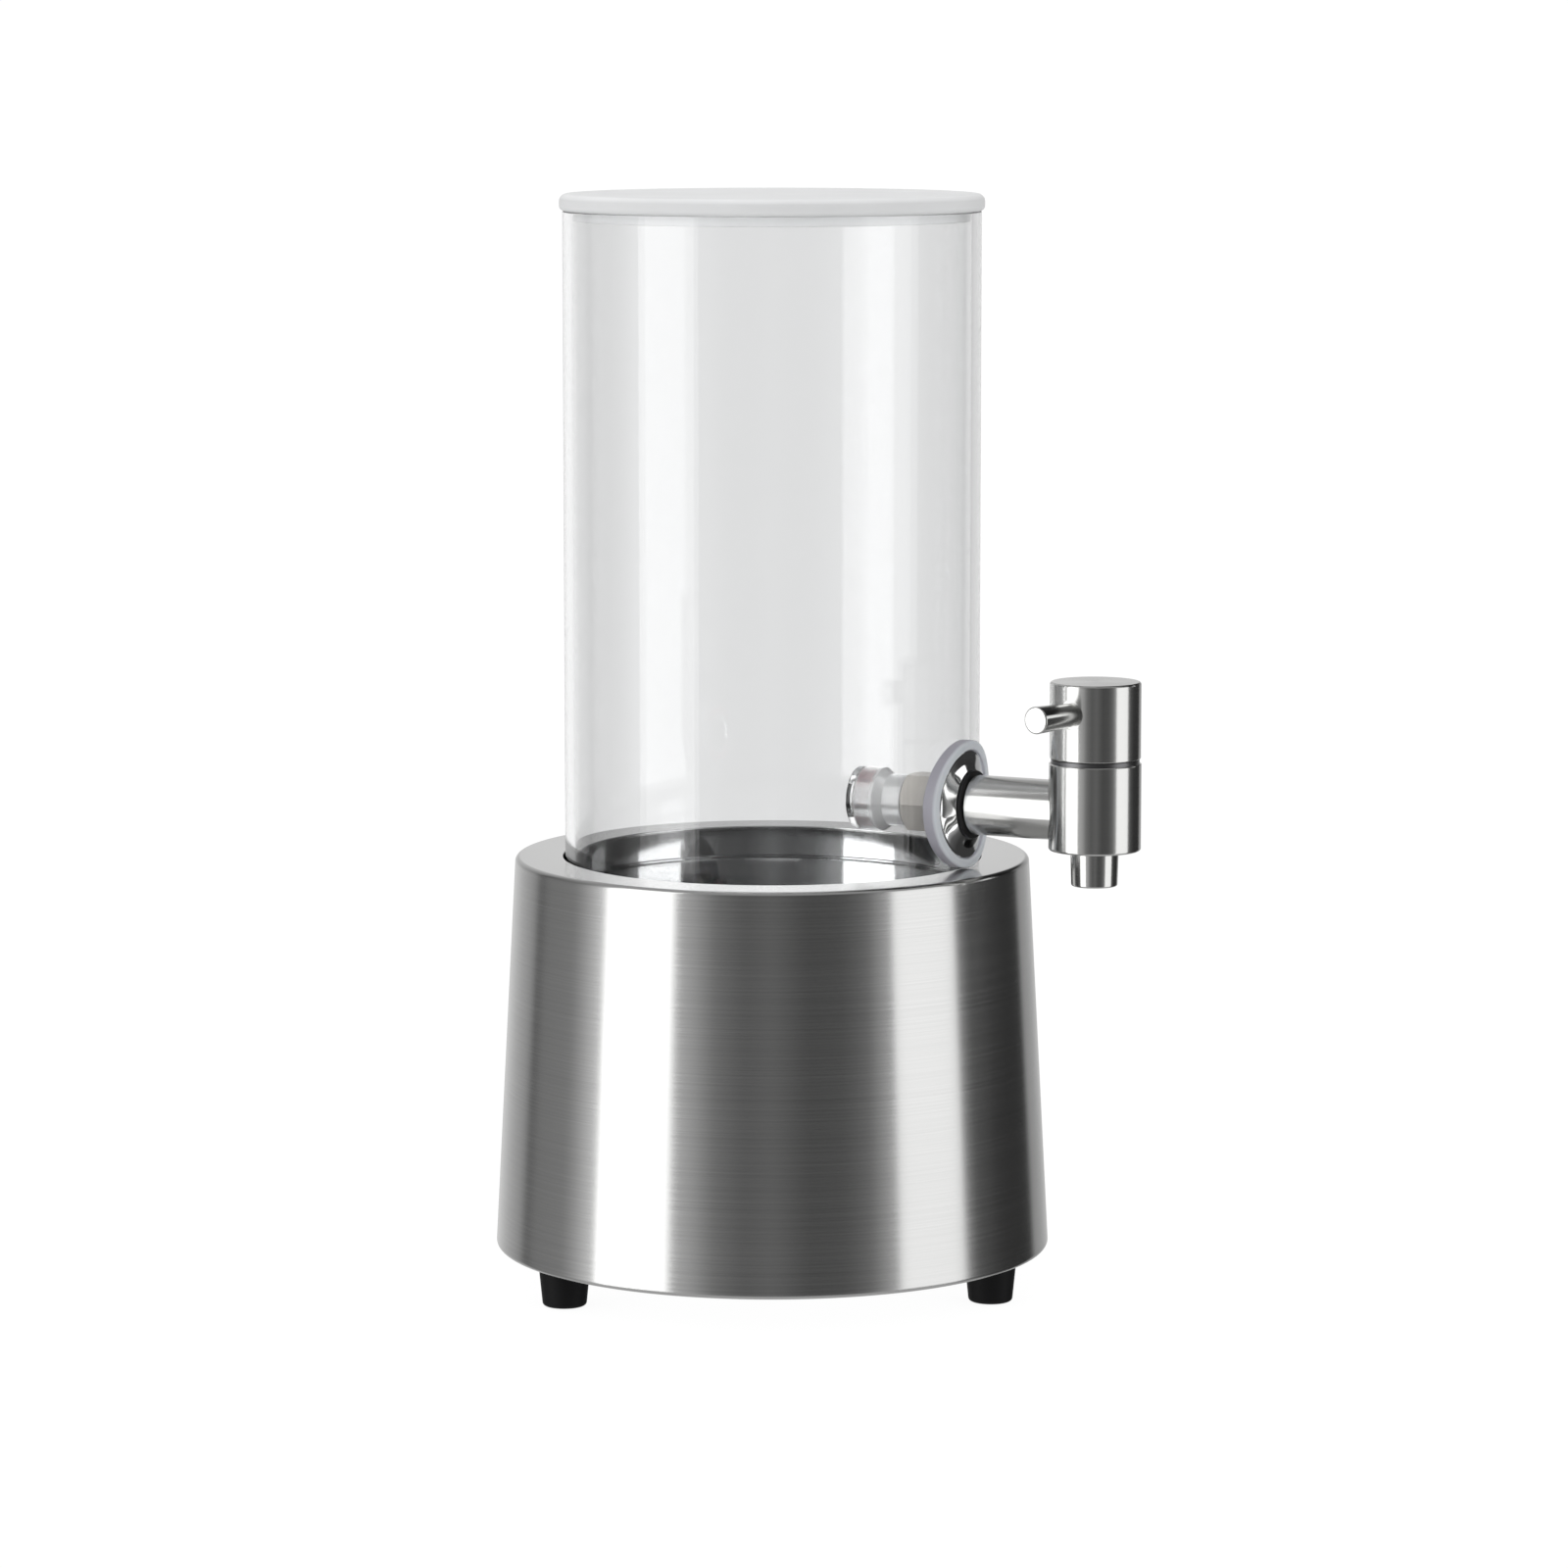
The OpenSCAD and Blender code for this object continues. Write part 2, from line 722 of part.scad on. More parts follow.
// Body of the tap: bored for the valve, the pipe's spigot and the nozzle
module tap_body() {
    color("silver")
        difference() {
            on_tap()
                turned([
                    [0, body_bottom, 0],
                    [body_r, body_bottom, body_edge_r],
                    [body_r, body_top, body_edge_r / 2],
                    [0, body_top, 0]
                ]);
            on_tap(body_bottom - overrun)
                cylinder(r = nozzle_spigot_r + fit_gap, h = nozzle_seat - body_bottom + overrun);
            on_tap(body_bottom) cylinder(r = flow_r, h = body_top - body_bottom);
            on_tap(sleeve_z) cylinder(r = sleeve_hole_r, h = body_top - sleeve_z);
            on_tap(bonnet_z) cylinder(r = bonnet_hole_r, h = bonnet_thread_h + overrun);
            along_pipe(tap_x - body_d) cylinder(r = spigot_r + fit_gap, h = body_d);
        }
}

// Plastic liner that seals the turning plug
module valve_sleeve() {
    color("ivory")
        difference() {
            on_tap()
                turned([
                    [flow_r, sleeve_z, 0],
                    [sleeve_r, sleeve_z, 0],
                    [sleeve_r, bonnet_z, 0],
                    [plug_hole_r, bonnet_z, 0],
                    [plug_hole_r, sleeve_floor, 0],
                    [flow_r, sleeve_floor, 0]
                ]);
            along_pipe(tap_x - body_d) cylinder(r = port_r, h = body_d);
        }
}

// Screwed ring that holds the plug down; its neck is the groove below the handle
module bonnet_nut() {
    color("dimgray")
        on_tap()
            turned([
                [stem_hole_r, bonnet_z, 0],
                [bonnet_hole_r - fit_gap, bonnet_z, 0],
                [bonnet_hole_r - fit_gap, body_top, 0],
                [body_r - groove_depth, body_top, 0],
                [body_r - groove_depth, neck_top, 0],
                [stem_hole_r, neck_top, 0]
            ]);
}

// Outlet nozzle, screwed into the body from below
module nozzle() {
    color("silver")
        on_tap()
            turned([
                [nozzle_bore_r, nozzle_z, 0],
                [nozzle_mouth_d / 2, nozzle_z, nozzle_edge_r],
                [nozzle_top_d / 2, body_bottom, 0],
                [nozzle_spigot_r, body_bottom, 0],
                [nozzle_spigot_r, nozzle_top, 0],
                [nozzle_bore_r, nozzle_top, 0]
            ]);
}

// Flat seal between the nozzle and the body
module nozzle_seal() {
    color("black")
        on_tap()
            turned([
                [flow_r, nozzle_top, 0],
                [nozzle_spigot_r, nozzle_top, 0],
                [nozzle_spigot_r, nozzle_seat, 0],
                [flow_r, nozzle_seat, 0]
            ]);
}

// Turning plug with an angled port, closed at rest, and the stem that the handle drives
module valve_plug() {
    round_top = handle_z + stem_entry;
    color("khaki")
        difference() {
            union() {
                on_tap(plug_z) cylinder(r = plug_r, h = plug_top - plug_z);
                on_tap(plug_z) cylinder(r = stem_r, h = round_top - plug_z);
                on_tap(round_top)
                    translate([-square_w / 2, -square_w / 2, 0])
                        cube([square_w, square_w, stem_top - round_top]);
            }
            on_tap(tap_z) rotate([-90, 0, 0]) cylinder(r = port_r, h = plug_r + overrun);
            on_tap(plug_z - overrun) cylinder(r = port_r, h = tap_z - plug_z + overrun);
            along_lever()
                translate([0, 0, -lever_past_stem - fit_gap])
                    cylinder(r = lever_thread_r + fit_gap, h = stem_r + lever_past_stem);
            on_tap(seal_z - stem_seal_d / 2 - fit_gap)
                difference() {
                    cylinder(r = stem_r + overrun, h = stem_seal_d + 2 * fit_gap);
                    cylinder(r = stem_r - stem_seal_d - fit_gap, h = stem_seal_d + 2 * fit_gap);
                }
        }
}

// Round seal in the stem's groove
module stem_seal() {
    color("black")
        on_tap(seal_z) rotate_extrude() translate([seal_ring_r, 0]) circle(d = stem_seal_d);
}

// Handle that turns above the body, with a square socket for the stem
module handle_cap() {
    socket_w = square_w + 2 * fit_gap;
    color("silver")
        difference() {
            on_tap()
                turned([
                    [0, handle_z, 0],
                    [handle_r, handle_z, handle_edge_r / 2],
                    [handle_r, handle_top, handle_edge_r],
                    [0, handle_top, 0]
                ]);
            on_tap(handle_z - overrun) cylinder(r = stem_hole_r, h = stem_entry + fit_gap + overrun);
            on_tap(handle_z)
                translate([-socket_w / 2, -socket_w / 2, 0])
                    cube([socket_w, socket_w, stem_top - handle_z + fit_gap]);
            along_lever() cylinder(r = lever_thread_r + fit_gap, h = handle_r + overrun);
            along_lever()
                translate([0, 0, lever_root])
                    cylinder(d = lever_root_d + 2 * lever_recess_gap, h = lever_recess + overrun);
        }
}

// Lever that screws through the handle into the stem
module lever_pin() {
    color("gainsboro")
        along_lever()
            turned([
                [0, -lever_past_stem, 0],
                [lever_thread_r, -lever_past_stem, 0],
                [lever_thread_r, lever_root, 0],
                [lever_root_d / 2, lever_root, 0],
                [lever_end_d / 2, lever_end, lever_edge_r],
                [0, lever_end, 0]
            ]);
}

// Frosted lid with a rounded rim and a lip that plugs the tube
module lid() {
    color("lavender", 0.8)
        turned([
            [0, lid_top - lid_panel_t, 0],
            [lip_in_r, lid_top - lid_panel_t, lid_lip_r],
            [lip_in_r, tube_top - lid_lip_h, lid_lip_r],
            [lip_out_r, tube_top - lid_lip_h, lid_lip_r],
            [lip_out_r, tube_top, 0],
            [lid_r, tube_top, lid_under_r],
            [lid_r, lid_top, lid_top_r],
            [0, lid_top, 0]
        ]);
}

base_shell();
seat_bowl();
bottom_plate();
for (i = [0:feet - 1])
    foot(i);
foot_washers();
foot_screws();
foot_nuts();
tube();
tube_floor();
outer_gasket();
tap_flange();
pipe_washer();
tap_pipe();
shank();
clamp_nut();
inner_gasket();
inlet_barrel();
inlet_seal();
inlet_cap();
tap_body();
valve_sleeve();
bonnet_nut();
nozzle();
nozzle_seal();
valve_plug();
stem_seal();
handle_cap();
lever_pin();
lid();
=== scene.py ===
"""Table-top drink tower: a clear tube with a side tap and a lid in a brushed steel base

Dresses the packed frame with turned, moulded and cast pieces, their finishes and a studio stage.
"""

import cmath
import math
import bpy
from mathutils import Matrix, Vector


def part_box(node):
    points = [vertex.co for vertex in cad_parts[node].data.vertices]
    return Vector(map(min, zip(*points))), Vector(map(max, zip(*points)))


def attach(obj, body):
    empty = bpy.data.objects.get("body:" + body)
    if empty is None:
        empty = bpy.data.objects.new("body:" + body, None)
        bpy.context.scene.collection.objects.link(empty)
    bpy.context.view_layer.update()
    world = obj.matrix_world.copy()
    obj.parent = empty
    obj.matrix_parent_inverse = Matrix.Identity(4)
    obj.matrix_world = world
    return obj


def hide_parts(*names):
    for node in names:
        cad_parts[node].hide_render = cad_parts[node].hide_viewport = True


bl_info = {
    "name": "Drink Tower",
    "version": (1, 0, 0),
    "blender": (4, 5, 0),
    "location": "View3D > Sidebar > Drink Tower",
    "description": "Makes a table-top drink tower with its tap, finishes and studio stage",
    "category": "Object",
}

import bmesh
import bpy

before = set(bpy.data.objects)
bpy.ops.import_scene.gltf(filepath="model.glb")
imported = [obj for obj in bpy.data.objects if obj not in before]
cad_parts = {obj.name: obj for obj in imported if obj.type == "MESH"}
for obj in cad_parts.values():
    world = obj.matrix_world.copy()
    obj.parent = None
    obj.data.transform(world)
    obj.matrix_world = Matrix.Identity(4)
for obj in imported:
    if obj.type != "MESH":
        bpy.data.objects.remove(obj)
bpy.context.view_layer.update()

MM = 0.001

# Bodies that the pieces ride on
BASE = "base"
VESSEL = "vessel"
HANDLE = "handle"
LID = "lid"

# Heights and radii that the frame gives
SHELL_LOW, SHELL_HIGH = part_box("base_shell")
BOWL_LOW, BOWL_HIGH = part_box("seat_bowl")
TUBE_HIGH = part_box("tube")[1]
FLOOR_LOW, FLOOR_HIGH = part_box("tube_floor")
LID_LOW, LID_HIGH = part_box("lid")
GASKET_LOW, GASKET_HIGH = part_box("outer_gasket")
FLANGE_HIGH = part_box("tap_flange")[1]
WASHER_LOW, WASHER_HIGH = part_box("pipe_washer")
BODY_LOW, BODY_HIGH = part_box("tap_body")
NOZZLE_LOW, NOZZLE_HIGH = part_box("nozzle")
LEVER_LOW, LEVER_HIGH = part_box("lever_pin")
CAP_LOW, CAP_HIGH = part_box("inlet_cap")
BARREL_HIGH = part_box("inlet_barrel")[1]
NUT_LOW, NUT_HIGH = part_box("clamp_nut")
FOOT_LOW, FOOT_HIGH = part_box("foot_1")
SLEEVE_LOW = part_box("valve_sleeve")[0]

TAP_X = (BODY_LOW.x + BODY_HIGH.x) / 2
TAP_Z = (GASKET_LOW.z + GASKET_HIGH.z) / 2
LEVER_Z = (LEVER_LOW.z + LEVER_HIGH.z) / 2


# Settings

def setting(kind, description, default, **values):
    """A setting for the sidebar, before it has its name"""
    return kind, {"description": description, "default": default, **values}


def length(description, millimetres):
    """A size"""
    return setting(bpy.props.FloatProperty, description, millimetres * MM, min=0.0, precision=5,
                   subtype="DISTANCE", unit="LENGTH")


def radius(place, millimetres):
    """A radius"""
    return length(f"Radius of {place}", millimetres)


def count(description, default, low=3, high=720):
    """A whole number"""
    return setting(bpy.props.IntProperty, description, default, min=low, max=high)


def share(description, default, high=1.0):
    """A plain factor"""
    return setting(bpy.props.FloatProperty, description, default, min=0.0, max=high, precision=3)


def turn(description, degrees):
    """An angle"""
    return setting(bpy.props.FloatProperty, description, math.radians(degrees), subtype="ANGLE",
                   unit="ROTATION")


def colour(description, default):
    """A colour"""
    return setting(bpy.props.FloatVectorProperty, description, default, size=3, min=0.0, max=1.0,
                   subtype="COLOR")


def named(group):
    """Names each setting of a group after its name in this script"""
    for key, (kind, values) in group.__annotations__.items():
        name = key.replace("_", " ").capitalize()
        group.__annotations__[key] = kind(name=name, **values)
    return group


@named
class TowerBaseSizes(bpy.types.PropertyGroup):
    """Sizes of the steel base, its bowl and its feet"""

    bottom_radius: radius("the shell at the feet", SHELL_HIGH.x / MM)
    top_radius: radius("the shell at its top edge", 80.15)
    ring_width: length("Width of the flat ring around the recess", 14.9)
    sheet: length("Thickness of the shell's sheet", 1)
    edge: radius("the shell's outer edges", 1.5)
    ring_edge: radius("the ring's inner edge", 0.4)
    lip: length("Width of the lip turned in below", 2.6)
    bowl_sheet: length("Thickness of the bowl's sheet", 0.8)
    foot_top: radius("a foot below the plate", 7.9)
    foot_bottom: radius("a foot at the table", 6.75)
    foot_edge: radius("a foot's lower edge", 1.2)
    foot_recess: radius("the screw recess in a foot", 3.9)
    foot_recess_depth: length("Depth of the screw recess", 6.5)
    foot_hole: radius("the screw hole in a foot", 2.05)
    foot_count: count("Number of feet", 3, 1, 12)
    segments: count("Faces around the base", 288)


@named
class TowerTubeSizes(bpy.types.PropertyGroup):
    """Sizes of the clear tube and its lid"""

    wall: length("Thickness of the tube's wall", 3)
    rim_edge: radius("the tube's upper edges", 0.35)
    floor_edge: radius("the floor's lower edge", 0.4)
    bond_groove: length("Depth of the line where the floor is bonded", 0.14)
    hole: radius("the hole for the shank", 7.2)
    lid_panel: length("Thickness of the lid's middle", 2.8)
    lid_top_edge: radius("the rim's upper edge", 2.4)
    lid_under_edge: radius("the rim's lower edge", 1.6)
    lip_gap: length("Gap between the lid's lip and the tube", 0.4)
    lip_wall: length("Wall thickness of the lid's lip", 2.5)
    lip_edge: radius("the lip's edges", 0.6)
    segments: count("Faces around the tube and the lid", 360)


@named
class TowerMountSizes(bpy.types.PropertyGroup):
    """Sizes of the gasket, flange, washer and pipe between tube and tap"""

    gasket_rim: length("Width of the gasket's rim", 2.9)
    gasket_edge: radius("the gasket's front edges", 0.85)
    gasket_bore: radius("the gasket's hole", 7.2)
    gasket_web: length("Thickness of the gasket below the flange", 1.2)
    bore: radius("the holes around the shank", 6.85)
    flange_radius: radius("the chrome flange", 16.7)
    flange_flat: length("Width of the flat at the flange's rim", 0.9)
    flange_rim: length("Height of the flange's rim over its back", 1.7)
    flange_sag: length("Hollow of the cone between rim and hub", 0.25)
    hub_radius: radius("the flange's flat hub", 10.7)
    washer_radius: radius("the black washer", 10.5)
    washer_edge: radius("the black washer's edges", 0.35)
    pipe_radius: radius("the tap's pipe", 9.2)
    pipe_edge: radius("the pipe's near edge", 0.35)
    pipe_bore: radius("the bore that the drink runs through", 4.5)
    socket: length("Depth of the pipe's socket for the shank", 11)
    spigot: radius("the pipe's spigot in the body", 5.9)
    segments: count("Faces around the pipe", 160)


@named
class TowerInletSizes(bpy.types.PropertyGroup):
    """Sizes of the fitting inside the tube"""

    collar: radius("the barrel's collar", 9.8)
    collar_length: length("Length of the collar with its cap", 9)
    neck: radius("the barrel's neck", 8)
    slope: length("Length of the slope from collar to neck", 2.4)
    cap_edge: radius("the end cap's edge", 0.8)
    seal: radius("the red seal", 8.85)
    seal_length: length("Length of the red seal", 5.4)
    nut_flats: length("Width of the clamp nut across its flats", 17)
    nut_chamfer: length("Depth of the nut's corner chamfer", 0.9)
    segments: count("Faces around the fitting", 128)


@named
class TowerTapSizes(bpy.types.PropertyGroup):
    """Sizes of the nozzle and the lever"""

    nozzle_top: radius("the nozzle below the body", 7.35)
    nozzle_mouth: radius("the nozzle at its mouth", 7.05)
    nozzle_edge: radius("the nozzle's lower edge", 0.6)
    nozzle_bore: radius("the nozzle's bore", 5)
    nozzle_spigot: radius("the part in the body", 6)
    lever_thread: radius("the lever's threaded root", 2.5)
    lever_root: radius("the lever at the handle", 3.6)
    lever_end: radius("the lever at its end", 4.15)
    lever_edge: radius("the lever's end edge", 0.5)
    lever_start: length("Distance of the lever's shoulder from the axis", 12.85)
    lever_reach: length("Distance of the lever's end from the axis", 31.15)
    lever_past: length("Length of the lever past the axis", 1.5)
    lever_turn: turn("Turn of the lever towards the tube", 11)
    segments: count("Faces around the nozzle and the lever", 128)


@named
class TowerFinishes(bpy.types.PropertyGroup):
    """Colours and gloss of the tower's finishes"""

    shell: colour("Brushed steel of the base", (0.62, 0.62, 0.615))
    shell_roughness: share("Roughness of the brushed steel", 0.22)
    chrome: colour("Polished bowl and flange", (0.92, 0.925, 0.93))
    tap: colour("Satin steel of the tap", (0.62, 0.62, 0.61))
    tap_roughness: share("Roughness of the tap's steel", 0.17)
    zinc: colour("Zinc of screws, washers and nuts", (0.52, 0.53, 0.55))
    plate: colour("Plain steel of the bottom plate", (0.42, 0.42, 0.42))
    clear: colour("Clear plastic of the tube", (0.89, 0.893, 0.895))
    frosted: colour("Frosted plastic of the lid", (0.72, 0.725, 0.73))
    silicone: colour("Grey silicone of the gaskets", (0.335, 0.35, 0.368))
    rubber: colour("Black rubber of feet and seals", (0.004, 0.004, 0.0045))
    red: colour("Red silicone of the inlet's seal", (0.80, 0.32, 0.36))
    smoky: colour("Smoky plastic of the inlet's barrel", (0.88, 0.885, 0.89))
    nut: colour("Brownish grey plastic of the clamp nut", (0.55, 0.525, 0.49))
    liner: colour("White plastic of the valve's liner", (0.86, 0.85, 0.82))
    # Painted shade: steel made dark to stand for the shade of the deep groove below the handle
    groove: colour("Dark steel of the groove below the handle", (0.19, 0.19, 0.195))
    brass: colour("Yellow metal of the valve's plug", (0.72, 0.55, 0.28))


@named
class TowerStage(bpy.types.PropertyGroup):
    """Camera, lights and backdrop"""

    camera_distance: length("From the tower's axis, level", 1763.27)
    camera_height: length("Above the table", 390.19)
    camera_bearing: turn("Direction of the camera from the axis", -62.6)
    camera_pitch: turn("How far the camera looks down", 7.546)
    camera_turn: turn("How far the camera looks past the axis", 0.12)
    camera_lens: setting(bpy.props.FloatProperty, "Focal length of the camera", 130.88, min=10.0,
                         subtype="DISTANCE_CAMERA")
    left_glow: share("Brightness of the left softbox", 1.65, 20.0)
    right_glow: share("Brightness of the right softbox", 1.0, 20.0)
    card_glow: share("Brightness of the card seen in the lever", 1.3, 20.0)
    backdrop_glow: share("Light that the backdrop gives off", 0.93, 2.0)
    backdrop: colour("Colour of the floor and backdrop", (0.09, 0.09, 0.09))


SETTINGS = {
    "tower_base": TowerBaseSizes,
    "tower_tube": TowerTubeSizes,
    "tower_mount": TowerMountSizes,
    "tower_inlet": TowerInletSizes,
    "tower_tap": TowerTapSizes,
    "tower_finish": TowerFinishes,
    "tower_stage": TowerStage,
}


# Node helpers

class Nodes:
    """A node tree in the making, with short calls for the nodes that it needs"""

    def __init__(self, tree):
        self.tree = tree

    def feed(self, node, inputs):
        """Sets or joins inputs of a node"""
        for key, value in inputs.items():
            if isinstance(value, bpy.types.NodeSocket):
                self.tree.links.new(value, node.inputs[key])
            else:
                node.inputs[key].default_value = value

    def add(self, kind, inputs=None, **options):
        """Adds a node, sets its options, and sets or joins its inputs"""
        node = self.tree.nodes.new(kind)
        for key, value in options.items():
            setattr(node, key, value)
        self.feed(node, inputs or {})
        return node

    def maths(self, operation, *values, kind="ShaderNodeMath"):
        """Result of a Math node"""
        return self.add(kind, dict(enumerate(values)), operation=operation).outputs[0]

    def parts(self, vector):
        """The three parts of a vector"""
        return self.add("ShaderNodeSeparateXYZ", {0: vector}).outputs[:3]

    def spread(self, value, low, high, start=0.3, end=0.7):
        """Maps a range of a result, without ends the middle of a noise, to another range"""
        return self.add("ShaderNodeMapRange", {
            "Value": value, "From Min": start, "From Max": end, "To Min": low, "To Max": high,
        }).outputs[0]

    def between(self, factor, one, other):
        """Number between two"""
        return self.add("ShaderNodeMix", {0: factor, 2: one, 3: other}).outputs[0]

    def blend(self, factor, one, other):
        """Colour between two"""
        ends = {6: one, 7: other}
        for key, value in ends.items():
            if not isinstance(value, bpy.types.NodeSocket):
                ends[key] = (*value, 1.0)
        return self.add("ShaderNodeMix", {0: factor, **ends}, data_type="RGBA").outputs[2]


class Group(Nodes):
    """A Geometry Nodes group in the making, with named inputs and one piece as its output"""

    def __init__(self, name, sockets):
        super().__init__(bpy.data.node_groups.new(name, "GeometryNodeTree"))
        new_socket = self.tree.interface.new_socket
        for label, kind in sockets.items():
            new_socket(label, in_out="INPUT", socket_type=f"NodeSocket{kind}")
        new_socket("Piece", in_out="OUTPUT", socket_type="NodeSocketGeometry")
        self.given = self.add("NodeGroupInput").outputs

    def end(self, geometry):
        """Ends the group with real geometry in its material"""
        real = self.add("GeometryNodeRealizeInstances", {0: geometry}).outputs[0]
        dressed = self.add("GeometryNodeSetMaterial", {0: real, "Material": self.given["Finish"]})
        self.add("NodeGroupOutput", {0: dressed.outputs[0]})
        return self.tree


def turned_tree():
    """Turns an outline about an axis

    Each point of the outline holds radius, bend and height. A point with bend 1 follows the
    round that the piece sits on, whose centre lies at the input Round at along the axis.
    """
    group = Group("Turned piece", {
        "Outline": "Geometry", "Segments": "Int", "Round at": "Float", "Turn": "Vector",
        "Place": "Vector", "Finish": "Material",
    })
    add, maths, given = group.add, group.maths, group.given
    outline = given["Outline"]
    segments = given["Segments"]
    whole = "FunctionNodeIntegerMath"
    points = add("GeometryNodeAttributeDomainSize", {0: outline}).outputs[0]
    columns = maths("ADD", segments, 1, kind=whole)
    grid = add("GeometryNodeMeshGrid", {"Vertices X": columns, "Vertices Y": points})
    index = add("GeometryNodeInputIndex").outputs[0]
    column = maths("DIVIDE_FLOOR", index, points, kind=whole)
    row = maths("MODULO", index, points, kind=whole)
    place = add("GeometryNodeInputPosition").outputs[0]
    sample = add("GeometryNodeSampleIndex", {"Geometry": outline, "Value": place, "Index": row},
                 data_type="FLOAT_VECTOR", domain="POINT")
    radius, bend, height = group.parts(sample.outputs[0])
    angle = maths("MULTIPLY", maths("DIVIDE", column, segments), math.tau)
    across = maths("MULTIPLY", radius, maths("COSINE", angle))
    side = maths("MULTIPLY", radius, maths("SINE", angle))
    reach = maths("SUBTRACT", height, given["Round at"])
    left = maths("SUBTRACT", maths("MULTIPLY", reach, reach), maths("MULTIPLY", side, side))
    root = maths("SQRT", maths("MAXIMUM", left, 0.0))
    shift = maths("SUBTRACT", maths("MULTIPLY", root, maths("SIGN", reach)), reach)
    bent = maths("MULTIPLY_ADD", shift, bend, height)
    spot = add("ShaderNodeCombineXYZ", {0: across, 1: side, 2: bent}).outputs[0]
    aimed = add("ShaderNodeVectorRotate", {"Vector": spot, "Rotation": given["Turn"]},
                rotation_type="EULER_XYZ").outputs[0]
    final = add("ShaderNodeVectorMath", {0: aimed, 1: given["Place"]}, operation="ADD").outputs[0]
    shaped = add("GeometryNodeSetPosition", {0: grid.outputs["Mesh"], "Position": final})
    closed = add("GeometryNodeMergeByDistance", {0: shaped.outputs[0], "Distance": WELD})
    smooth = add("GeometryNodeSetShadeSmooth", {0: closed.outputs[0]})
    return group.end(smooth.outputs[0])


def ring_tree():
    """Sets copies of a piece on a ring about the tower's axis, the first one towards the tap"""
    group = Group("Ring of copies", {
        "Piece": "Geometry", "Copies": "Int", "Ring radius": "Float", "Finish": "Material",
    })
    add, maths, given = group.add, group.maths, group.given
    ring = add("GeometryNodeMeshCircle",
               {"Vertices": given["Copies"], "Radius": given["Ring radius"]})
    index = add("GeometryNodeInputIndex").outputs[0]
    heading = maths("MULTIPLY", index, maths("DIVIDE", math.tau, given["Copies"]))
    aim = add("ShaderNodeCombineXYZ", {2: heading}).outputs[0]
    copies = add("GeometryNodeInstanceOnPoints", {
        "Points": ring.outputs["Mesh"], "Instance": given["Piece"], "Rotation": aim,
    })
    return group.end(copies.outputs[0])


def tree(name, maker):
    """A node group that is made once"""
    return bpy.data.node_groups.get(name) or maker()


# Shape helpers

# Points closer than this are welded
WELD = 0.002 * MM
# Distance of the points that hold a long face straight beside a rounded corner
HOLD = 0.15 * MM
# Steps in a rounded corner
CORNER_STEPS = 9
# Edges that meet at more than this are kept crisp
CRISP = math.radians(38)
# Gap that keeps the faces of two pieces out of one plane
HAIR = 0.02 * MM
# Gap between a piece and the one that it sits on or in
CLEARANCE = 0.1 * MM
# Faces around the feet, the drill and the backdrop
FEW_SEGMENTS = 96
# Turn and place of a piece that lies along the tap's pipe
ON_PIPE = {"aim": (0, math.pi / 2, 0), "place": (0, 0, TAP_Z)}


def rounded(points):
    """Outline through points given as radius, height, corner radius and bend, all in metres"""
    result = []

    def keep(spot):
        result.append((spot.real, bend, spot.imag))

    spots = [complex(*point[:2]) for point in points]
    for i, (spot, point) in enumerate(zip(spots, points)):
        corner = point[2]
        bend = point[3] if len(point) > 3 else 0.0
        if corner <= 0:
            keep(spot)
            continue
        back = spots[i - 1] - spot
        ahead = spots[(i + 1) % len(spots)] - spot
        back_length = abs(back)
        ahead_length = abs(ahead)
        back /= back_length
        ahead /= ahead_length
        between = back.conjugate() * ahead
        half = math.acos(max(-1, min(1, between.real))) / 2
        setback = corner / math.tan(half)
        middle = back + ahead
        centre = spot + middle / abs(middle) * corner / math.sin(half)
        start = spot + back * setback - centre
        sweep = math.copysign(math.pi - 2 * half, -between.imag)
        if back_length > setback + 3 * HOLD:
            keep(spot + back * (setback + HOLD))
        for step in range(CORNER_STEPS + 1):
            keep(centre + start * cmath.rect(1, sweep * step / CORNER_STEPS))
        if ahead_length > setback + 3 * HOLD:
            keep(spot + ahead * (setback + HOLD))
    if result[0][0] > 0 or result[-1][0] > 0:
        result.append(result[0])
    return result


def linked(name, data):
    """A new object in the scene"""
    obj = bpy.data.objects.new(name, data)
    bpy.context.scene.collection.objects.link(obj)
    return obj


def plain(source, name, material):
    """Turns an object with modifiers into a plain mesh object, and removes the first"""
    graph = bpy.context.evaluated_depsgraph_get()
    mesh = bpy.data.meshes.new_from_object(source.evaluated_get(graph))
    bpy.data.objects.remove(source)
    if not mesh.polygons:
        raise RuntimeError(f"{name} came out empty")
    mesh.name = name
    mesh.materials.clear()
    mesh.materials.append(material)
    return linked(name, mesh)


def face_out(obj):
    """Closes seams and points all faces outwards, with crisp edges where faces meet at an angle"""
    work = bmesh.new()
    work.from_mesh(obj.data)
    bmesh.ops.remove_doubles(work, verts=work.verts, dist=WELD / 4)
    bmesh.ops.recalc_face_normals(work, faces=work.faces)
    work.to_mesh(obj.data)
    work.free()
    obj.data.shade_smooth()
    obj.data.set_sharp_from_angle(angle=CRISP)
    return obj


def with_tree(source, group, values):
    """Puts a Geometry Nodes group with its named inputs on an object"""
    modifier = source.modifiers.new(group.name, "NODES")
    modifier.node_group = group
    for item in group.interface.items_tree:
        if item.in_out == "INPUT" and item.name in values:
            modifier[item.identifier] = values[item.name]
    return source


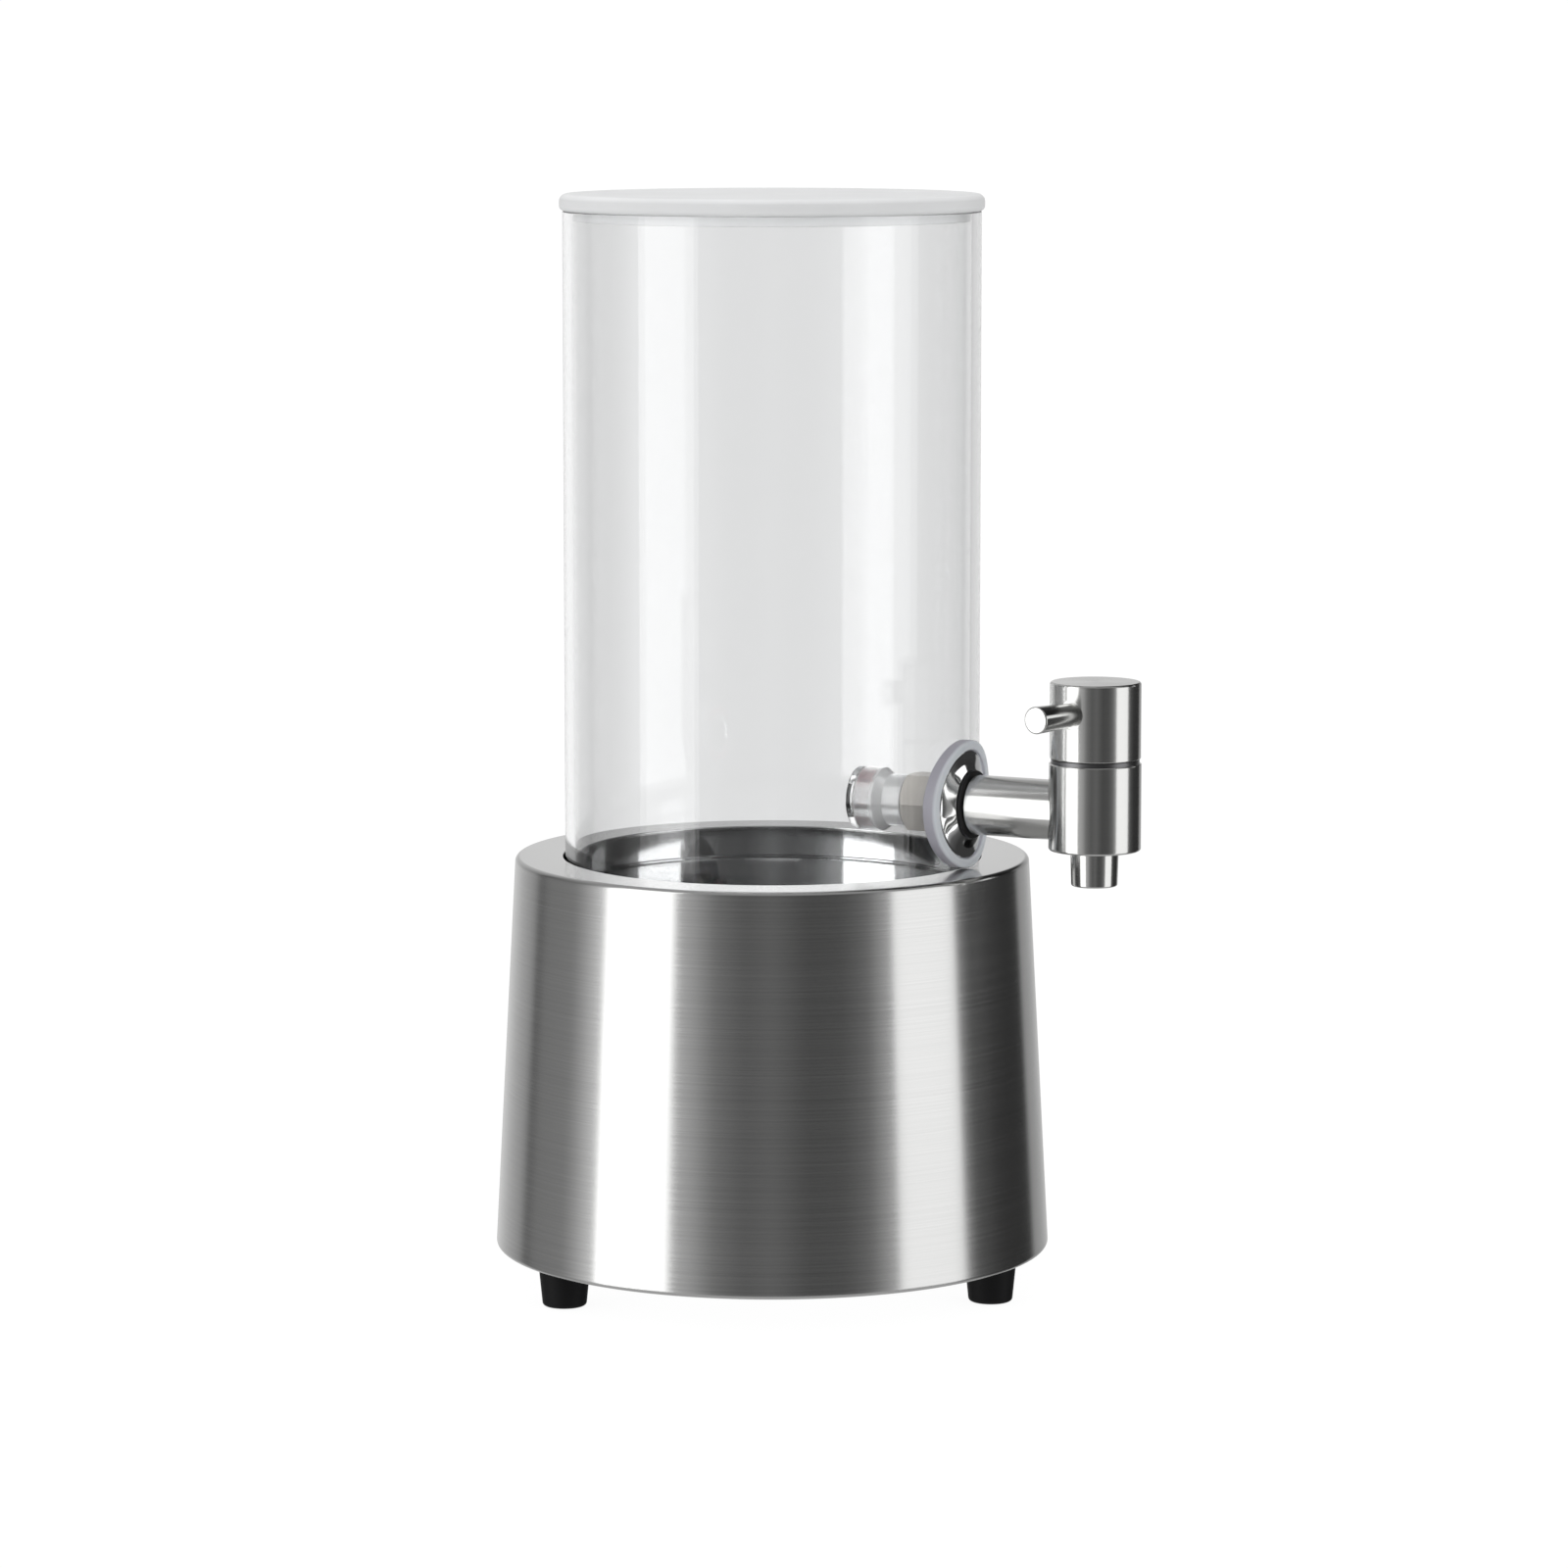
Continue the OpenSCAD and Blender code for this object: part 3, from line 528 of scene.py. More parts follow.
def turned(name, outline, material, segments, round_at=0.0, aim=(0, 0, 0), place=(0, 0, 0)):
    """A turned piece from its outline"""
    mesh = bpy.data.meshes.new(name)
    points = rounded(outline)
    mesh.from_pydata(points, [(i, i + 1) for i in range(len(points) - 1)], [])
    source = with_tree(linked(name, mesh), tree("Turned piece", turned_tree), {
        "Segments": segments, "Round at": round_at, "Turn": aim, "Place": place,
        "Finish": material,
    })
    return face_out(plain(source, name, material))


def cut(obj, cutter):
    """Takes a closed cutter out of a piece, and removes the cutter"""
    modifier = obj.modifiers.new("Cut", "BOOLEAN")
    modifier.operation = "DIFFERENCE"
    modifier.solver = "EXACT"
    modifier.object = cutter
    result = plain(obj, obj.name, obj.data.materials[0])
    bpy.data.objects.remove(cutter)
    return face_out(result)


def on_body(obj, body, slot, *nodes):
    """Rides a finished piece on its body, in place of its nodes"""
    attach(obj, body)
    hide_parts(*nodes)


def piece(name, body, slot, node, size, outline, look=None, **placing):
    """A turned piece in place of a node, in the finish of its slot unless another is given"""
    obj = turned(name, outline, finish(look or slot), size.segments, **placing)
    on_body(obj, body, slot, node)


def dress(name, *nodes):
    """Gives frame nodes the finish of that name"""
    for node in nodes:
        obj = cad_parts[node]
        if not obj.material_slots:
            obj.data.materials.append(finish(name))
        for slot in obj.material_slots:
            slot.material = finish(name)


# Finish helpers

class Finish(Nodes):
    """A material in the making"""

    def __init__(self, name, **values):
        self.material = bpy.data.materials.new(f"{name}_finish")
        self.material.use_nodes = True
        super().__init__(self.material.node_tree)
        self.tree.nodes.clear()
        self.shader = self.add("ShaderNodeBsdfPrincipled")
        self.add("ShaderNodeOutputMaterial", {"Surface": self.shader.outputs[0]})
        self.point = self.add("ShaderNodeTexCoord").outputs["Object"]
        self.give(**values)

    def give(self, **values):
        """Sets or joins inputs of the shader"""
        self.feed(self.shader, {key.replace("_", " "): value for key, value in values.items()})

    def noise(self, scale, detail, roughness, stretch=(1, 1, 1), distortion=0.0):
        """Noise from 0 to 1, in lengths of 1 / scale metres"""
        spot = self.add("ShaderNodeMapping", {"Vector": self.point, "Scale": stretch})
        return self.add("ShaderNodeTexNoise", {
            "Vector": spot.outputs[0], "Scale": scale, "Detail": detail,
            "Roughness": roughness, "Distortion": distortion,
        }).outputs[0]

    def drift(self, value, base, low, high, *ends):
        """Colour that drifts between two shades of a base"""
        portion = self.spread(value, 0.0, 1.0, *ends)
        return self.blend(portion, shade(base, low), shade(base, high))

    def relief(self, value, depth, strength=1.0):
        """Bump of a depth in metres"""
        return self.add("ShaderNodeBump", {
            "Height": value, "Distance": depth, "Strength": strength,
        }).outputs[0]


def shade(value, factor):
    """A colour made lighter or darker"""
    return tuple(min(1.0, channel * factor) for channel in value)


def brushed(name, base, roughness, axis, stretch, anisotropy, depth, contrast, ring=None):
    """Steel with brushing around an axis, glossier above a height"""
    made = Finish(name, Metallic=1.0, Anisotropic=anisotropy, Anisotropic_Rotation=0.25)
    around = made.add("ShaderNodeTangent", direction_type="RADIAL", axis=axis).outputs[0]
    streak = made.noise(1.0, 4.0, 0.62, stretch)
    fine = made.noise(2.7, 2.0, 0.6, stretch)
    smudge = made.noise(14.0, 3.0, 0.5, distortion=0.4)
    lines = made.maths("MULTIPLY_ADD", fine, 0.45, made.maths("MULTIPLY", streak, 0.55))
    gloss = made.spread(lines, roughness * 0.87, roughness * 1.13, 0.35, 0.65)
    gloss = made.maths("ADD", gloss, made.spread(smudge, -0.01, 0.02))
    if ring is not None:
        height = made.parts(made.point)[2]
        factor = made.spread(height, 1.0, 0.6, ring - 1.0 * MM, ring - 0.2 * MM)
        gloss = made.maths("MULTIPLY", gloss, factor)
    made.give(
        Tangent=around, Roughness=gloss, Normal=made.relief(lines, depth),
        Base_Color=made.drift(lines, base, 1 - contrast, 1 + contrast, 0.35, 0.65),
    )
    return made.material


def polished(name, base, roughness):
    """Polished steel with faint smudges and hairline wear"""
    made = Finish(name, Metallic=1.0)
    smudge = made.noise(22.0, 4.0, 0.55, distortion=0.6)
    hair = made.noise(900.0, 2.0, 0.6, (1, 1, 0.05))
    made.give(
        Base_Color=made.drift(smudge, base, 0.97, 1.0),
        Roughness=made.spread(smudge, roughness, roughness + 0.035, 0.4, 0.75),
        Normal=made.relief(hair, 0.0008 * MM),
    )
    return made.material


def moulded(name, base, roughness, drift, grain=900.0, depth=0.006 * MM, specular=0.5):
    """Moulded rubber or plastic with a fine grain and a slow drift of its colour"""
    made = Finish(name, Specular_IOR_Level=specular)
    slow = made.noise(35.0, 3.0, 0.5)
    fine = made.noise(grain, 3.0, 0.6)
    made.give(
        Base_Color=made.drift(slow, base, 1 - drift, 1 + drift),
        Roughness=made.spread(fine, roughness - 0.04, roughness + 0.05),
        Normal=made.relief(fine, depth),
    )
    return made.material


def clear(name, base, haze, lift=1.0):
    """Clear plastic with a breath of wipe marks, lighter than its base by a factor"""
    made = Finish(name, Transmission_Weight=1.0, IOR=1.4)
    wipe = made.noise(26.0, 4.0, 0.6, (1, 1, 0.35), 0.8)
    made.give(
        Base_Color=made.drift(wipe, base, 0.995 * lift, lift),
        Roughness=made.spread(wipe, 0.0, haze, 0.5, 0.8),
    )
    return made.material


def frosted(name, base):
    """Frosted plastic that lets light through, with painted light on its top and its lip"""
    made = Finish(name, Transmission_Weight=0.08, IOR=1.46, Subsurface_Weight=0.35,
                  Subsurface_Radius=(0.006, 0.006, 0.006), Subsurface_Scale=1.0)
    speck = made.noise(2600.0, 2.0, 0.6)
    tone = made.drift(made.noise(30.0, 3.0, 0.5), base, 0.975, 1.02)
    height = made.parts(made.point)[2]
    # Painted light: 0.83 on the rim's side to 1.12 on top, and 1.47 on the lip in the tube
    top = made.spread(height, 0.83, 1.12, LID_HIGH.z - 1.6 * MM, LID_HIGH.z - 0.1 * MM)
    lip = made.spread(height, 1.47, 1.0, TUBE_HIGH.z - 0.5 * MM, TUBE_HIGH.z)
    painted_light_tone = made.add("ShaderNodeVectorMath", {0: tone, "Scale": made.maths("MULTIPLY", top, lip)},
                   operation="SCALE")
    made.give(
        Base_Color=painted_light_tone.outputs[0],
        Roughness=made.spread(speck, 0.46, 0.58),
        Normal=made.relief(speck, 0.01 * MM, 0.6),
    )
    return made.material


def silicone(name, base):
    """Grey silicone, a bit see-through, lavender at its side, bluish with painted light on its
    face
    """
    made = Finish(name, IOR=1.41, Subsurface_Weight=0.25,
                  Subsurface_Radius=(0.003, 0.0035, 0.004), Subsurface_Scale=1.0)
    slow = made.noise(60.0, 2.0, 0.5, distortion=0.5)
    fine = made.noise(1400.0, 3.0, 0.6)
    lavender = (base[0] * 0.98, base[1] * 0.92, base[2] * 0.98)
    x, y, _ = made.parts(made.point)
    out = made.maths("SQRT", made.maths("MULTIPLY_ADD", x, x, made.maths("MULTIPLY", y, y)))
    # Painted light: the rim's face is painted 1.3 to 1.4 times lighter than the lavender side
    face = made.spread(out, 0.0, 1.0, GASKET_HIGH.x - 1.0 * MM, GASKET_HIGH.x - 0.2 * MM)
    made.give(
        Base_Color=made.blend(face, lavender, made.drift(slow, base, 1.3, 1.4)),
        Roughness=made.spread(fine, 0.3, 0.4),
        Normal=made.relief(fine, 0.003 * MM),
    )
    return made.material


def seal_rubber(name, base):
    """Red rubber behind the clear collar, whose middle pales to a grey as a painted highlight"""
    made = Finish(name, Subsurface_Weight=0.2, Subsurface_Scale=0.001, Roughness=0.38)
    height = made.parts(made.point)[2]
    off_axis = made.maths("ABSOLUTE", made.maths("SUBTRACT", height, TAP_Z))
    # Painted highlight: near the axis's height the red gives way to a light grey
    edge = made.spread(off_axis, 0.12, 1.0, 3.5 * MM, 7.5 * MM)
    slow = made.spread(made.noise(35.0, 3.0, 0.5), 0.0, 1.0)
    grey = made.blend(slow, (0.52, 0.52, 0.53), (0.57, 0.57, 0.58))
    made.give(Base_Color=made.blend(edge, grey, base))
    return made.material


def smoky(name, base):
    """Smoky plastic with a shine, clearer at the collar around the seal"""
    made = Finish(name, IOR=1.6, Coat_Weight=1.0, Coat_Roughness=0.06, Roughness=0.14)
    out = made.parts(made.point)[0]
    made.give(
        Base_Color=made.drift(made.noise(35.0, 3.0, 0.5), base, 0.96, 1.03),
        Transmission_Weight=made.spread(
            out, 0.85, 0.5, CAP_HIGH.x + 4.6 * MM, CAP_HIGH.x + 6.2 * MM),
    )
    return made.material


# Brushing of the base and of the tap: axis, stretch of the streaks, anisotropy, depth, contrast
SHELL_BRUSHING = ("Z", (6, 6, 2200), 0.8, 0.002 * MM, 0.06)
TAP_BRUSHING = (0.5, 0.0003 * MM, 0.02)
TAP_STREAKS = {
    "tap_steel_upright": ("Z", (20, 20, 3200)),
    "tap_steel_level": ("X", (3200, 20, 20)),
    "tap_steel_lever": ("Y", (20, 3200, 20)),
}
# Each finish: how it is made, its colour in the sidebar, and the values that it takes
FINISHES = {
    "foot_rubber": (moulded, "rubber", 0.55, 0.25, 1100.0, 0.02 * MM, 0.2),
    "black_rubber": (moulded, "rubber", 0.42, 0.2),
    "nut_plastic": (moulded, "nut", 0.36, 0.06),
    "white_liner": (moulded, "liner", 0.4, 0.03),
    "polished_steel": (polished, "chrome", 0.06),
    "fastener_steel": (polished, "zinc", 0.24),
    "groove_steel": (polished, "groove", 0.3),
    "plate_steel": (polished, "plate", 0.35),
    "brass_plug": (brushed, "brass", 0.25, "Z", (20, 20, 3000), 0.4, 0.002 * MM, 0.04),
    "clear_acrylic": (clear, "clear", 0.02),
    "clear_plastic": (clear, "clear", 0.05, 1.03),
    "frosted_lid": (frosted, "frosted"),
    "grey_silicone": (silicone, "silicone"),
    "red_silicone": (seal_rubber, "red"),
    "smoky_plastic": (smoky, "smoky"),
}


def finish(name):
    """A finish by its name, made once from the colours in the sidebar"""
    label = f"{name}_finish"
    if label in bpy.data.materials:
        return bpy.data.materials[label]
    tones = bpy.context.scene.tower_finish
    if name == "brushed_shell":
        return brushed(name, tones.shell, tones.shell_roughness, *SHELL_BRUSHING, SHELL_HIGH.z)
    if name.startswith("tap_steel"):
        streaks = TAP_STREAKS[name]
        return brushed(name, tones.tap, tones.tap_roughness, *streaks, *TAP_BRUSHING)
    maker, tone, *values = FINISHES[name]
    return maker(name, getattr(tones, tone), *values)


# Pieces

class BaseShell(bpy.types.Operator):
    """Tapered brushed shell with its top ring and bottom lip turned in"""

    bl_idname = "drink_tower.base_shell"
    bl_label = "Base shell"

    def execute(self, context):
        size = context.scene.tower_base
        low, top = SHELL_LOW.z, SHELL_HIGH.z
        lip = size.bottom_radius - size.lip
        seat = size.top_radius - size.ring_width
        inner = max(size.edge - size.sheet, 0.1 * MM)
        piece("base_shell_brushed", BASE, "brushed_shell", "base_shell", size, [
            (lip, low, 0.3 * MM), (size.bottom_radius, low, size.edge),
            (size.top_radius, top, size.edge), (seat, top, size.ring_edge),
            (seat, top - size.sheet, 0),
            (size.top_radius - size.sheet, top - size.sheet, inner),
            (size.bottom_radius - size.sheet, low + size.sheet, inner),
            (lip, low + size.sheet, 0.3 * MM),
        ])
        return {"FINISHED"}


class SeatBowl(bpy.types.Operator):
    """Polished bowl below the ring, in which the tube stands"""

    bl_idname = "drink_tower.seat_bowl"
    bl_label = "Seat bowl"

    def execute(self, context):
        size = context.scene.tower_base
        seat = size.top_radius - size.ring_width
        floor = FLOOR_LOW.z
        top = BOWL_HIGH.z - HAIR
        outer = seat + size.bowl_sheet
        piece("seat_bowl_polished", BASE, "polished_steel", "seat_bowl", size, [
            (0, floor, 0), (seat, floor, 0.4 * MM), (seat, top, 0), (BOWL_HIGH.x, top, 0),
            (BOWL_HIGH.x, top - size.bowl_sheet, 0), (outer, top - size.bowl_sheet, 0.2 * MM),
            (outer, BOWL_LOW.z, 0.4 * MM), (0, BOWL_LOW.z, 0),
        ])
        return {"FINISHED"}


class Feet(bpy.types.Operator):
    """Tapered rubber feet on a ring below the plate"""

    bl_idname = "drink_tower.feet"
    bl_label = "Feet"

    def execute(self, context):
        size = context.scene.tower_base
        top = FOOT_HIGH.z - HAIR
        rubber = finish("foot_rubber")
        foot = turned("foot", [
            (size.foot_recess, 0, 0.3 * MM), (size.foot_bottom, 0, size.foot_edge),
            (size.foot_top, top, 0.3 * MM), (size.foot_hole, top, 0),
            (size.foot_hole, size.foot_recess_depth, 0),
            (size.foot_recess, size.foot_recess_depth, 0),
        ], rubber, FEW_SEGMENTS)
        with_tree(foot, tree("Ring of copies", ring_tree), {
            "Copies": size.foot_count, "Ring radius": (FOOT_LOW.x + FOOT_HIGH.x) / 2,
            "Finish": rubber,
        })
        feet = face_out(plain(foot, "feet_rubber", rubber))
        on_body(feet, BASE, "foot_rubber", "foot_1", "foot_2", "foot_3")
        return {"FINISHED"}


class Underside(bpy.types.Operator):
    """Finishes of the bottom plate and of the fasteners in the feet"""

    bl_idname = "drink_tower.underside"
    bl_label = "Underside"

    def execute(self, context):
        dress("plate_steel", "bottom_plate")
        dress("fastener_steel", "foot_washers", "foot_screws", "foot_nuts")
        return {"FINISHED"}


class ClearTube(bpy.types.Operator):
    """Clear tube with its bonded floor and the hole for the shank"""

    bl_idname = "drink_tower.clear_tube"
    bl_label = "Clear tube"

    def execute(self, context):
        size = context.scene.tower_tube
        outer = TUBE_HIGH.x
        inner = outer - size.wall
        low = FLOOR_LOW.z + CLEARANCE
        bond = FLOOR_HIGH.z
        top = TUBE_HIGH.z - CLEARANCE / 2
        groove = size.bond_groove
        plastic = finish("clear_acrylic")
        tube = turned("tube_clear", [
            (0, low, 0), (outer, low, size.floor_edge), (outer, bond - groove, 0),
            (outer - groove, bond, 0), (outer, bond + groove, 0), (outer, top, size.rim_edge),
            (inner, top, size.rim_edge), (inner, bond, size.floor_edge), (0, bond, 0),
        ], plastic, size.segments)
        past = 10 * MM
        drill = turned("drill", [
            (0, inner - past, 0), (size.hole, inner - past, 0),
            (size.hole, outer + past, 0), (0, outer + past, 0),
        ], plastic, FEW_SEGMENTS, **ON_PIPE)
        on_body(cut(tube, drill), VESSEL, "clear_acrylic", "tube", "tube_floor")
        return {"FINISHED"}


class TubeLid(bpy.types.Operator):
    """Frosted lid with a rounded rim and a lip that plugs the tube"""

    bl_idname = "drink_tower.tube_lid"
    bl_label = "Lid"

    def execute(self, context):
        size = context.scene.tower_tube
        top = LID_HIGH.z
        seat = TUBE_HIGH.z
        plug = TUBE_HIGH.x - size.wall - size.lip_gap
        hollow = plug - size.lip_wall
        piece("lid_frosted", LID, "frosted_lid", "lid", size, [
            (0, top - size.lid_panel, 0), (hollow, top - size.lid_panel, size.lip_edge),
            (hollow, LID_LOW.z, size.lip_edge), (plug, LID_LOW.z, size.lip_edge),
            (plug, seat, 0.2 * MM), (LID_HIGH.x, seat, size.lid_under_edge),
            (LID_HIGH.x, top, size.lid_top_edge), (0, top, 0),
        ])
        return {"FINISHED"}


class OuterGasket(bpy.types.Operator):
    """Silicone cup between the tube and the flange, curved to the tube"""

    bl_idname = "drink_tower.outer_gasket"
    bl_label = "Outer gasket"

    def execute(self, context):
        size = context.scene.tower_mount
        rim = (GASKET_HIGH.z - GASKET_LOW.z) / 2
        pocket = rim - size.gasket_rim
        back = TUBE_HIGH.x + CLEARANCE
        web = back + size.gasket_web
        front = GASKET_HIGH.x
        piece("outer_gasket_silicone", VESSEL, "grey_silicone", "outer_gasket", size, [
            (size.gasket_bore, back, 0, 1), (rim, back, 0.3 * MM, 1),
            (rim, front, size.gasket_edge, 1), (pocket, front, size.gasket_edge, 1),
            (pocket, web, 0.35 * MM, 1), (size.gasket_bore, web, 0, 1),
        ], **ON_PIPE)
        dress("grey_silicone", "inner_gasket")
        return {"FINISHED"}


class TapFlange(bpy.types.Operator):
    """Chrome cone in the gasket, from a thin rim up to a flat hub for the pipe"""

    bl_idname = "drink_tower.tap_flange"
    bl_label = "Tap flange"

    def execute(self, context):
        size = context.scene.tower_mount
        back = TUBE_HIGH.x + 2.5 * CLEARANCE + size.gasket_web
        rim = back + size.flange_rim
        hub = FLANGE_HIGH.x
        outer = size.flange_radius - size.flange_flat
        steps = 24
        cone = []
        for step in range(steps + 1):
            inward = step / steps
            cone.append((
                outer - (outer - size.hub_radius) * inward,
                rim + (hub - rim) * inward - size.flange_sag * math.sin(math.pi * inward),
                0, 1 - inward,
            ))
        piece("tap_flange_polished", VESSEL, "polished_steel", "tap_flange", size, [
            (size.bore, back, 0, 1), (size.flange_radius, back, 0.2 * MM, 1),
            (size.flange_radius, rim, 0.35 * MM, 1),
            *cone,
            (size.bore, hub, 0, 0),
        ], **ON_PIPE)
        return {"FINISHED"}


class TapPipe(bpy.types.Operator):
    """Pipe to the tap's body with its far end cut to the body, and the black ring at its root"""

    bl_idname = "drink_tower.tap_pipe"
    bl_label = "Tap pipe"

    def execute(self, context):
        size = context.scene.tower_mount
        piece("pipe_washer_rubber", VESSEL, "black_rubber", "pipe_washer", size, [
            (size.bore, WASHER_LOW.x + HAIR, 0),
            (size.washer_radius, WASHER_LOW.x + HAIR, size.washer_edge),
            (size.washer_radius, WASHER_HIGH.x - HAIR, size.washer_edge),
            (size.bore, WASHER_HIGH.x - HAIR, 0),
        ], **ON_PIPE)
        start = WASHER_HIGH.x
        body = TAP_X - (BODY_HIGH.x - BODY_LOW.x) / 2 - CLEARANCE
        liner = SLEEVE_LOW.x - CLEARANCE
        socket = start + size.socket
        piece("tap_pipe_steel", VESSEL, "tap_steel", "tap_pipe", size, [
            (size.bore, start, 0), (size.pipe_radius, start, size.pipe_edge),
            (size.pipe_radius, body, 0, 1), (size.spigot, body, 0, 1),
            (size.spigot, liner, 0, 1), (size.pipe_bore, liner, 0, 1),
            (size.pipe_bore, socket, 0), (size.bore, socket, 0),
        ], "tap_steel_level", round_at=TAP_X, **ON_PIPE)
        return {"FINISHED"}


class Inlet(bpy.types.Operator):
    """Fitting inside the tube: clear cap, red seal, smoky barrel and clamp nut"""

    bl_idname = "drink_tower.inlet"
    bl_label = "Inlet"

    def execute(self, context):
        size = context.scene.tower_inlet
        bore = context.scene.tower_mount.bore
        flow = context.scene.tower_mount.pipe_bore
        start = CAP_LOW.x
        joint = CAP_HIGH.x
        gap = 0.03 * MM
        end = BARREL_HIGH.x
        slope = start + size.collar_length
        pocket = size.seal + CLEARANCE / 2
        seal_end = joint + size.seal_length
        piece("inlet_cap_clear", VESSEL, "clear_plastic", "inlet_cap", size, [
            (flow, start, 0.3 * MM), (size.collar, start, size.cap_edge),
            (size.collar, joint - gap, 0.15 * MM), (flow, joint - gap, 0),
        ], **ON_PIPE)
        piece("inlet_barrel_smoky", VESSEL, "smoky_plastic", "inlet_barrel", size, [
            (pocket, joint + gap, 0), (size.collar, joint + gap, 0.15 * MM),
            (size.collar, slope, 0.5 * MM), (size.neck, slope + size.slope, 0.8 * MM),
            (size.neck, end, 0.4 * MM), (bore, end, 0), (bore, seal_end, 0),
            (pocket, seal_end, 0),
        ], **ON_PIPE)
        piece("inlet_seal_red", VESSEL, "red_silicone", "inlet_seal", size, [
            (bore, joint + gap, 0), (size.seal, joint + gap, 0.3 * MM),
            (size.seal, seal_end - gap, 0.3 * MM), (bore, seal_end - gap, 0),
        ], **ON_PIPE)
        nut = hexagon_nut("clamp_nut_grey", size.nut_flats / 2, bore, size.nut_chamfer)
        on_body(nut, VESSEL, "nut_plastic", "clamp_nut")
        dress("tap_steel_level", "shank")
        return {"FINISHED"}


def hexagon_nut(name, flats, bore, chamfer):
    """Hexagon nut along the tap's pipe, with its corners turned off at both ends"""
    around = 96
    sixth = math.pi / 3
    slope = 1.6
    start, end = NUT_LOW.x, NUT_HIGH.x
    face = flats - 0.5 * MM
    rises = [chamfer * level for level in (0, 0.12, 0.25, 0.4, 0.6, 0.8, 1.0, 1.25, 1.6)]
    heights = [start + rise for rise in rises] + [end - rise for rise in reversed(rises)]
    limits = [(bore, start), (face, start)]
    for height in heights:
        rise = min(height - start, end - height)
        limits.append((flats - CLEARANCE + rise * slope, height))
    limits += [(face, end), (bore, end)]
    verts = []
    for limit, height in limits:
        for i in range(around):
            angle = math.tau * i / around
            from_flat = (angle + sixth / 2) % sixth - sixth / 2
            reach = min(flats / math.cos(from_flat), limit)
            verts.append((height, reach * math.sin(angle), TAP_Z - reach * math.cos(angle)))
    faces = []
    for one in range(0, len(verts), around):
        other = (one + around) % len(verts)
        for i in range(around):
            j = (i + 1) % around
            faces.append((one + i, one + j, other + j, other + i))
    mesh = bpy.data.meshes.new(name)
    mesh.from_pydata(verts, [], faces)
    mesh.materials.append(finish("nut_plastic"))
    return face_out(linked(name, mesh))


class TapBody(bpy.types.Operator):
    """Body of the tap with its nozzle, and the finishes of the valve inside"""

    bl_idname = "drink_tower.tap_body"
    bl_label = "Tap body"

    def execute(self, context):
        size = context.scene.tower_tap
        joint = BODY_LOW.z - HAIR
        piece("nozzle_steel", VESSEL, "tap_steel", "nozzle", size, [
            (size.nozzle_bore, NOZZLE_LOW.z, 0.25 * MM),
            (size.nozzle_mouth, NOZZLE_LOW.z, size.nozzle_edge),
            (size.nozzle_top, joint, 0.15 * MM), (size.nozzle_spigot, joint, 0),
            (size.nozzle_spigot, NOZZLE_HIGH.z, 0.3 * MM), (size.nozzle_bore, NOZZLE_HIGH.z, 0),
        ], "tap_steel_upright", place=(TAP_X, 0, 0))
        dress("tap_steel_upright", "tap_body")
        # Painted shade: the bonnet nut in dark steel stands for the shade in its deep groove
        dress("groove_steel", "bonnet_nut")
        dress("white_liner", "valve_sleeve")
        dress("black_rubber", "nozzle_seal", "stem_seal")
        dress("brass_plug", "valve_plug")
        return {"FINISHED"}


class TapHandle(bpy.types.Operator):
    """Turning handle with its small lever"""

    bl_idname = "drink_tower.tap_handle"
    bl_label = "Tap handle"

    def execute(self, context):
        size = context.scene.tower_tap
        piece("lever_steel", HANDLE, "tap_steel", "lever_pin", size, [
            (0, -size.lever_past, 0), (size.lever_thread, -size.lever_past, 0.3 * MM),
            (size.lever_thread, size.lever_start, 0),
            (size.lever_root, size.lever_start, 0.2 * MM),
            (size.lever_end, size.lever_reach, size.lever_edge), (0, size.lever_reach, 0),
        ], "tap_steel_lever", aim=(math.pi / 2, 0, -size.lever_turn), place=(TAP_X, 0, LEVER_Z))
        dress("tap_steel_upright", "handle_cap")
        return {"FINISHED"}


# Stage

# Grey of the studio by degrees from the camera, clockwise negative, seen only in reflections
STUDIO = (
    (-180, 1.0), (-173, 0.75), (-156, 0.65), (-143, 0.5), (-133, 0.4), (-129, 0.33), (-126, 0.14),
    (-123, 0.14), (-118, 0.24), (-105, 0.26), (-97, 0.27), (-90, 0.45), (-82, 0.77), (-36, 0.5),
    (-25, 0.22), (-12, 0.13), (0, 0.17), (15, 0.09), (30, 0.1), (42, 0.18), (50, 0.45),
    (86, 0.4), (95, 0.1), (110, 0.04), (138, 0.04), (141, 0.37), (150, 0.4), (160, 0.5),
    (172, 0.65), (180, 1.0),
)
# Height of a direction, from -1 straight down to 1 straight up, between which the studio turns
# to an even grey above and below
FADES = ((0.42, 0.75), (-0.5, -0.7))
EVEN_GREY = (0.5, 0.5, 0.5)
WHITE = (1, 1, 1)
# Heights between which the studio dims a little, and what it dims to
DIMS = (-0.04, 0.1)
DIMMED = 0.8
# Dark part of the studio, high behind the tap: heights and angles between which it sets in, angles
# between which it ends, and how much light it takes
DARK_HEIGHTS = (0.17, 0.3)
DARK_START = (math.radians(86), math.radians(98))
DARK_END = (math.radians(163), math.radians(175))
DARKNESS = 0.9
# How much brighter the studio is for mirrored rays that leave through the tube, and for soft
# light on the pieces in it, which makes up for what its walls take
THROUGH_TUBE = 1.9
IN_TUBE = 2.0
# How much brighter the softboxes are for rays that passed more walls than this, as those into the
# recess and back do
IN_RECESS = 3.1
RECESS_WALLS = 5.5
# Softboxes: name, brightness in the sidebar, degrees from the camera, half the width in degrees as
# rays through the tube see it, width, bottom and top
SOFTBOXES = (
    ("left_softbox", "left_glow", -59, 17, 0.73, -0.5, 1.1),
    ("right_softbox", "right_glow", 68.5, 16.3, 0.7, -0.5, 0.65),
    ("lever_card", "card_glow", 105, None, 0.4, 0.305, 0.56),
)
# Distance of the softboxes from the tower's axis
SOFTBOX_DISTANCE = 1.2
# Watts for each square metre of a softbox of brightness one
AREA_POWER = math.pi
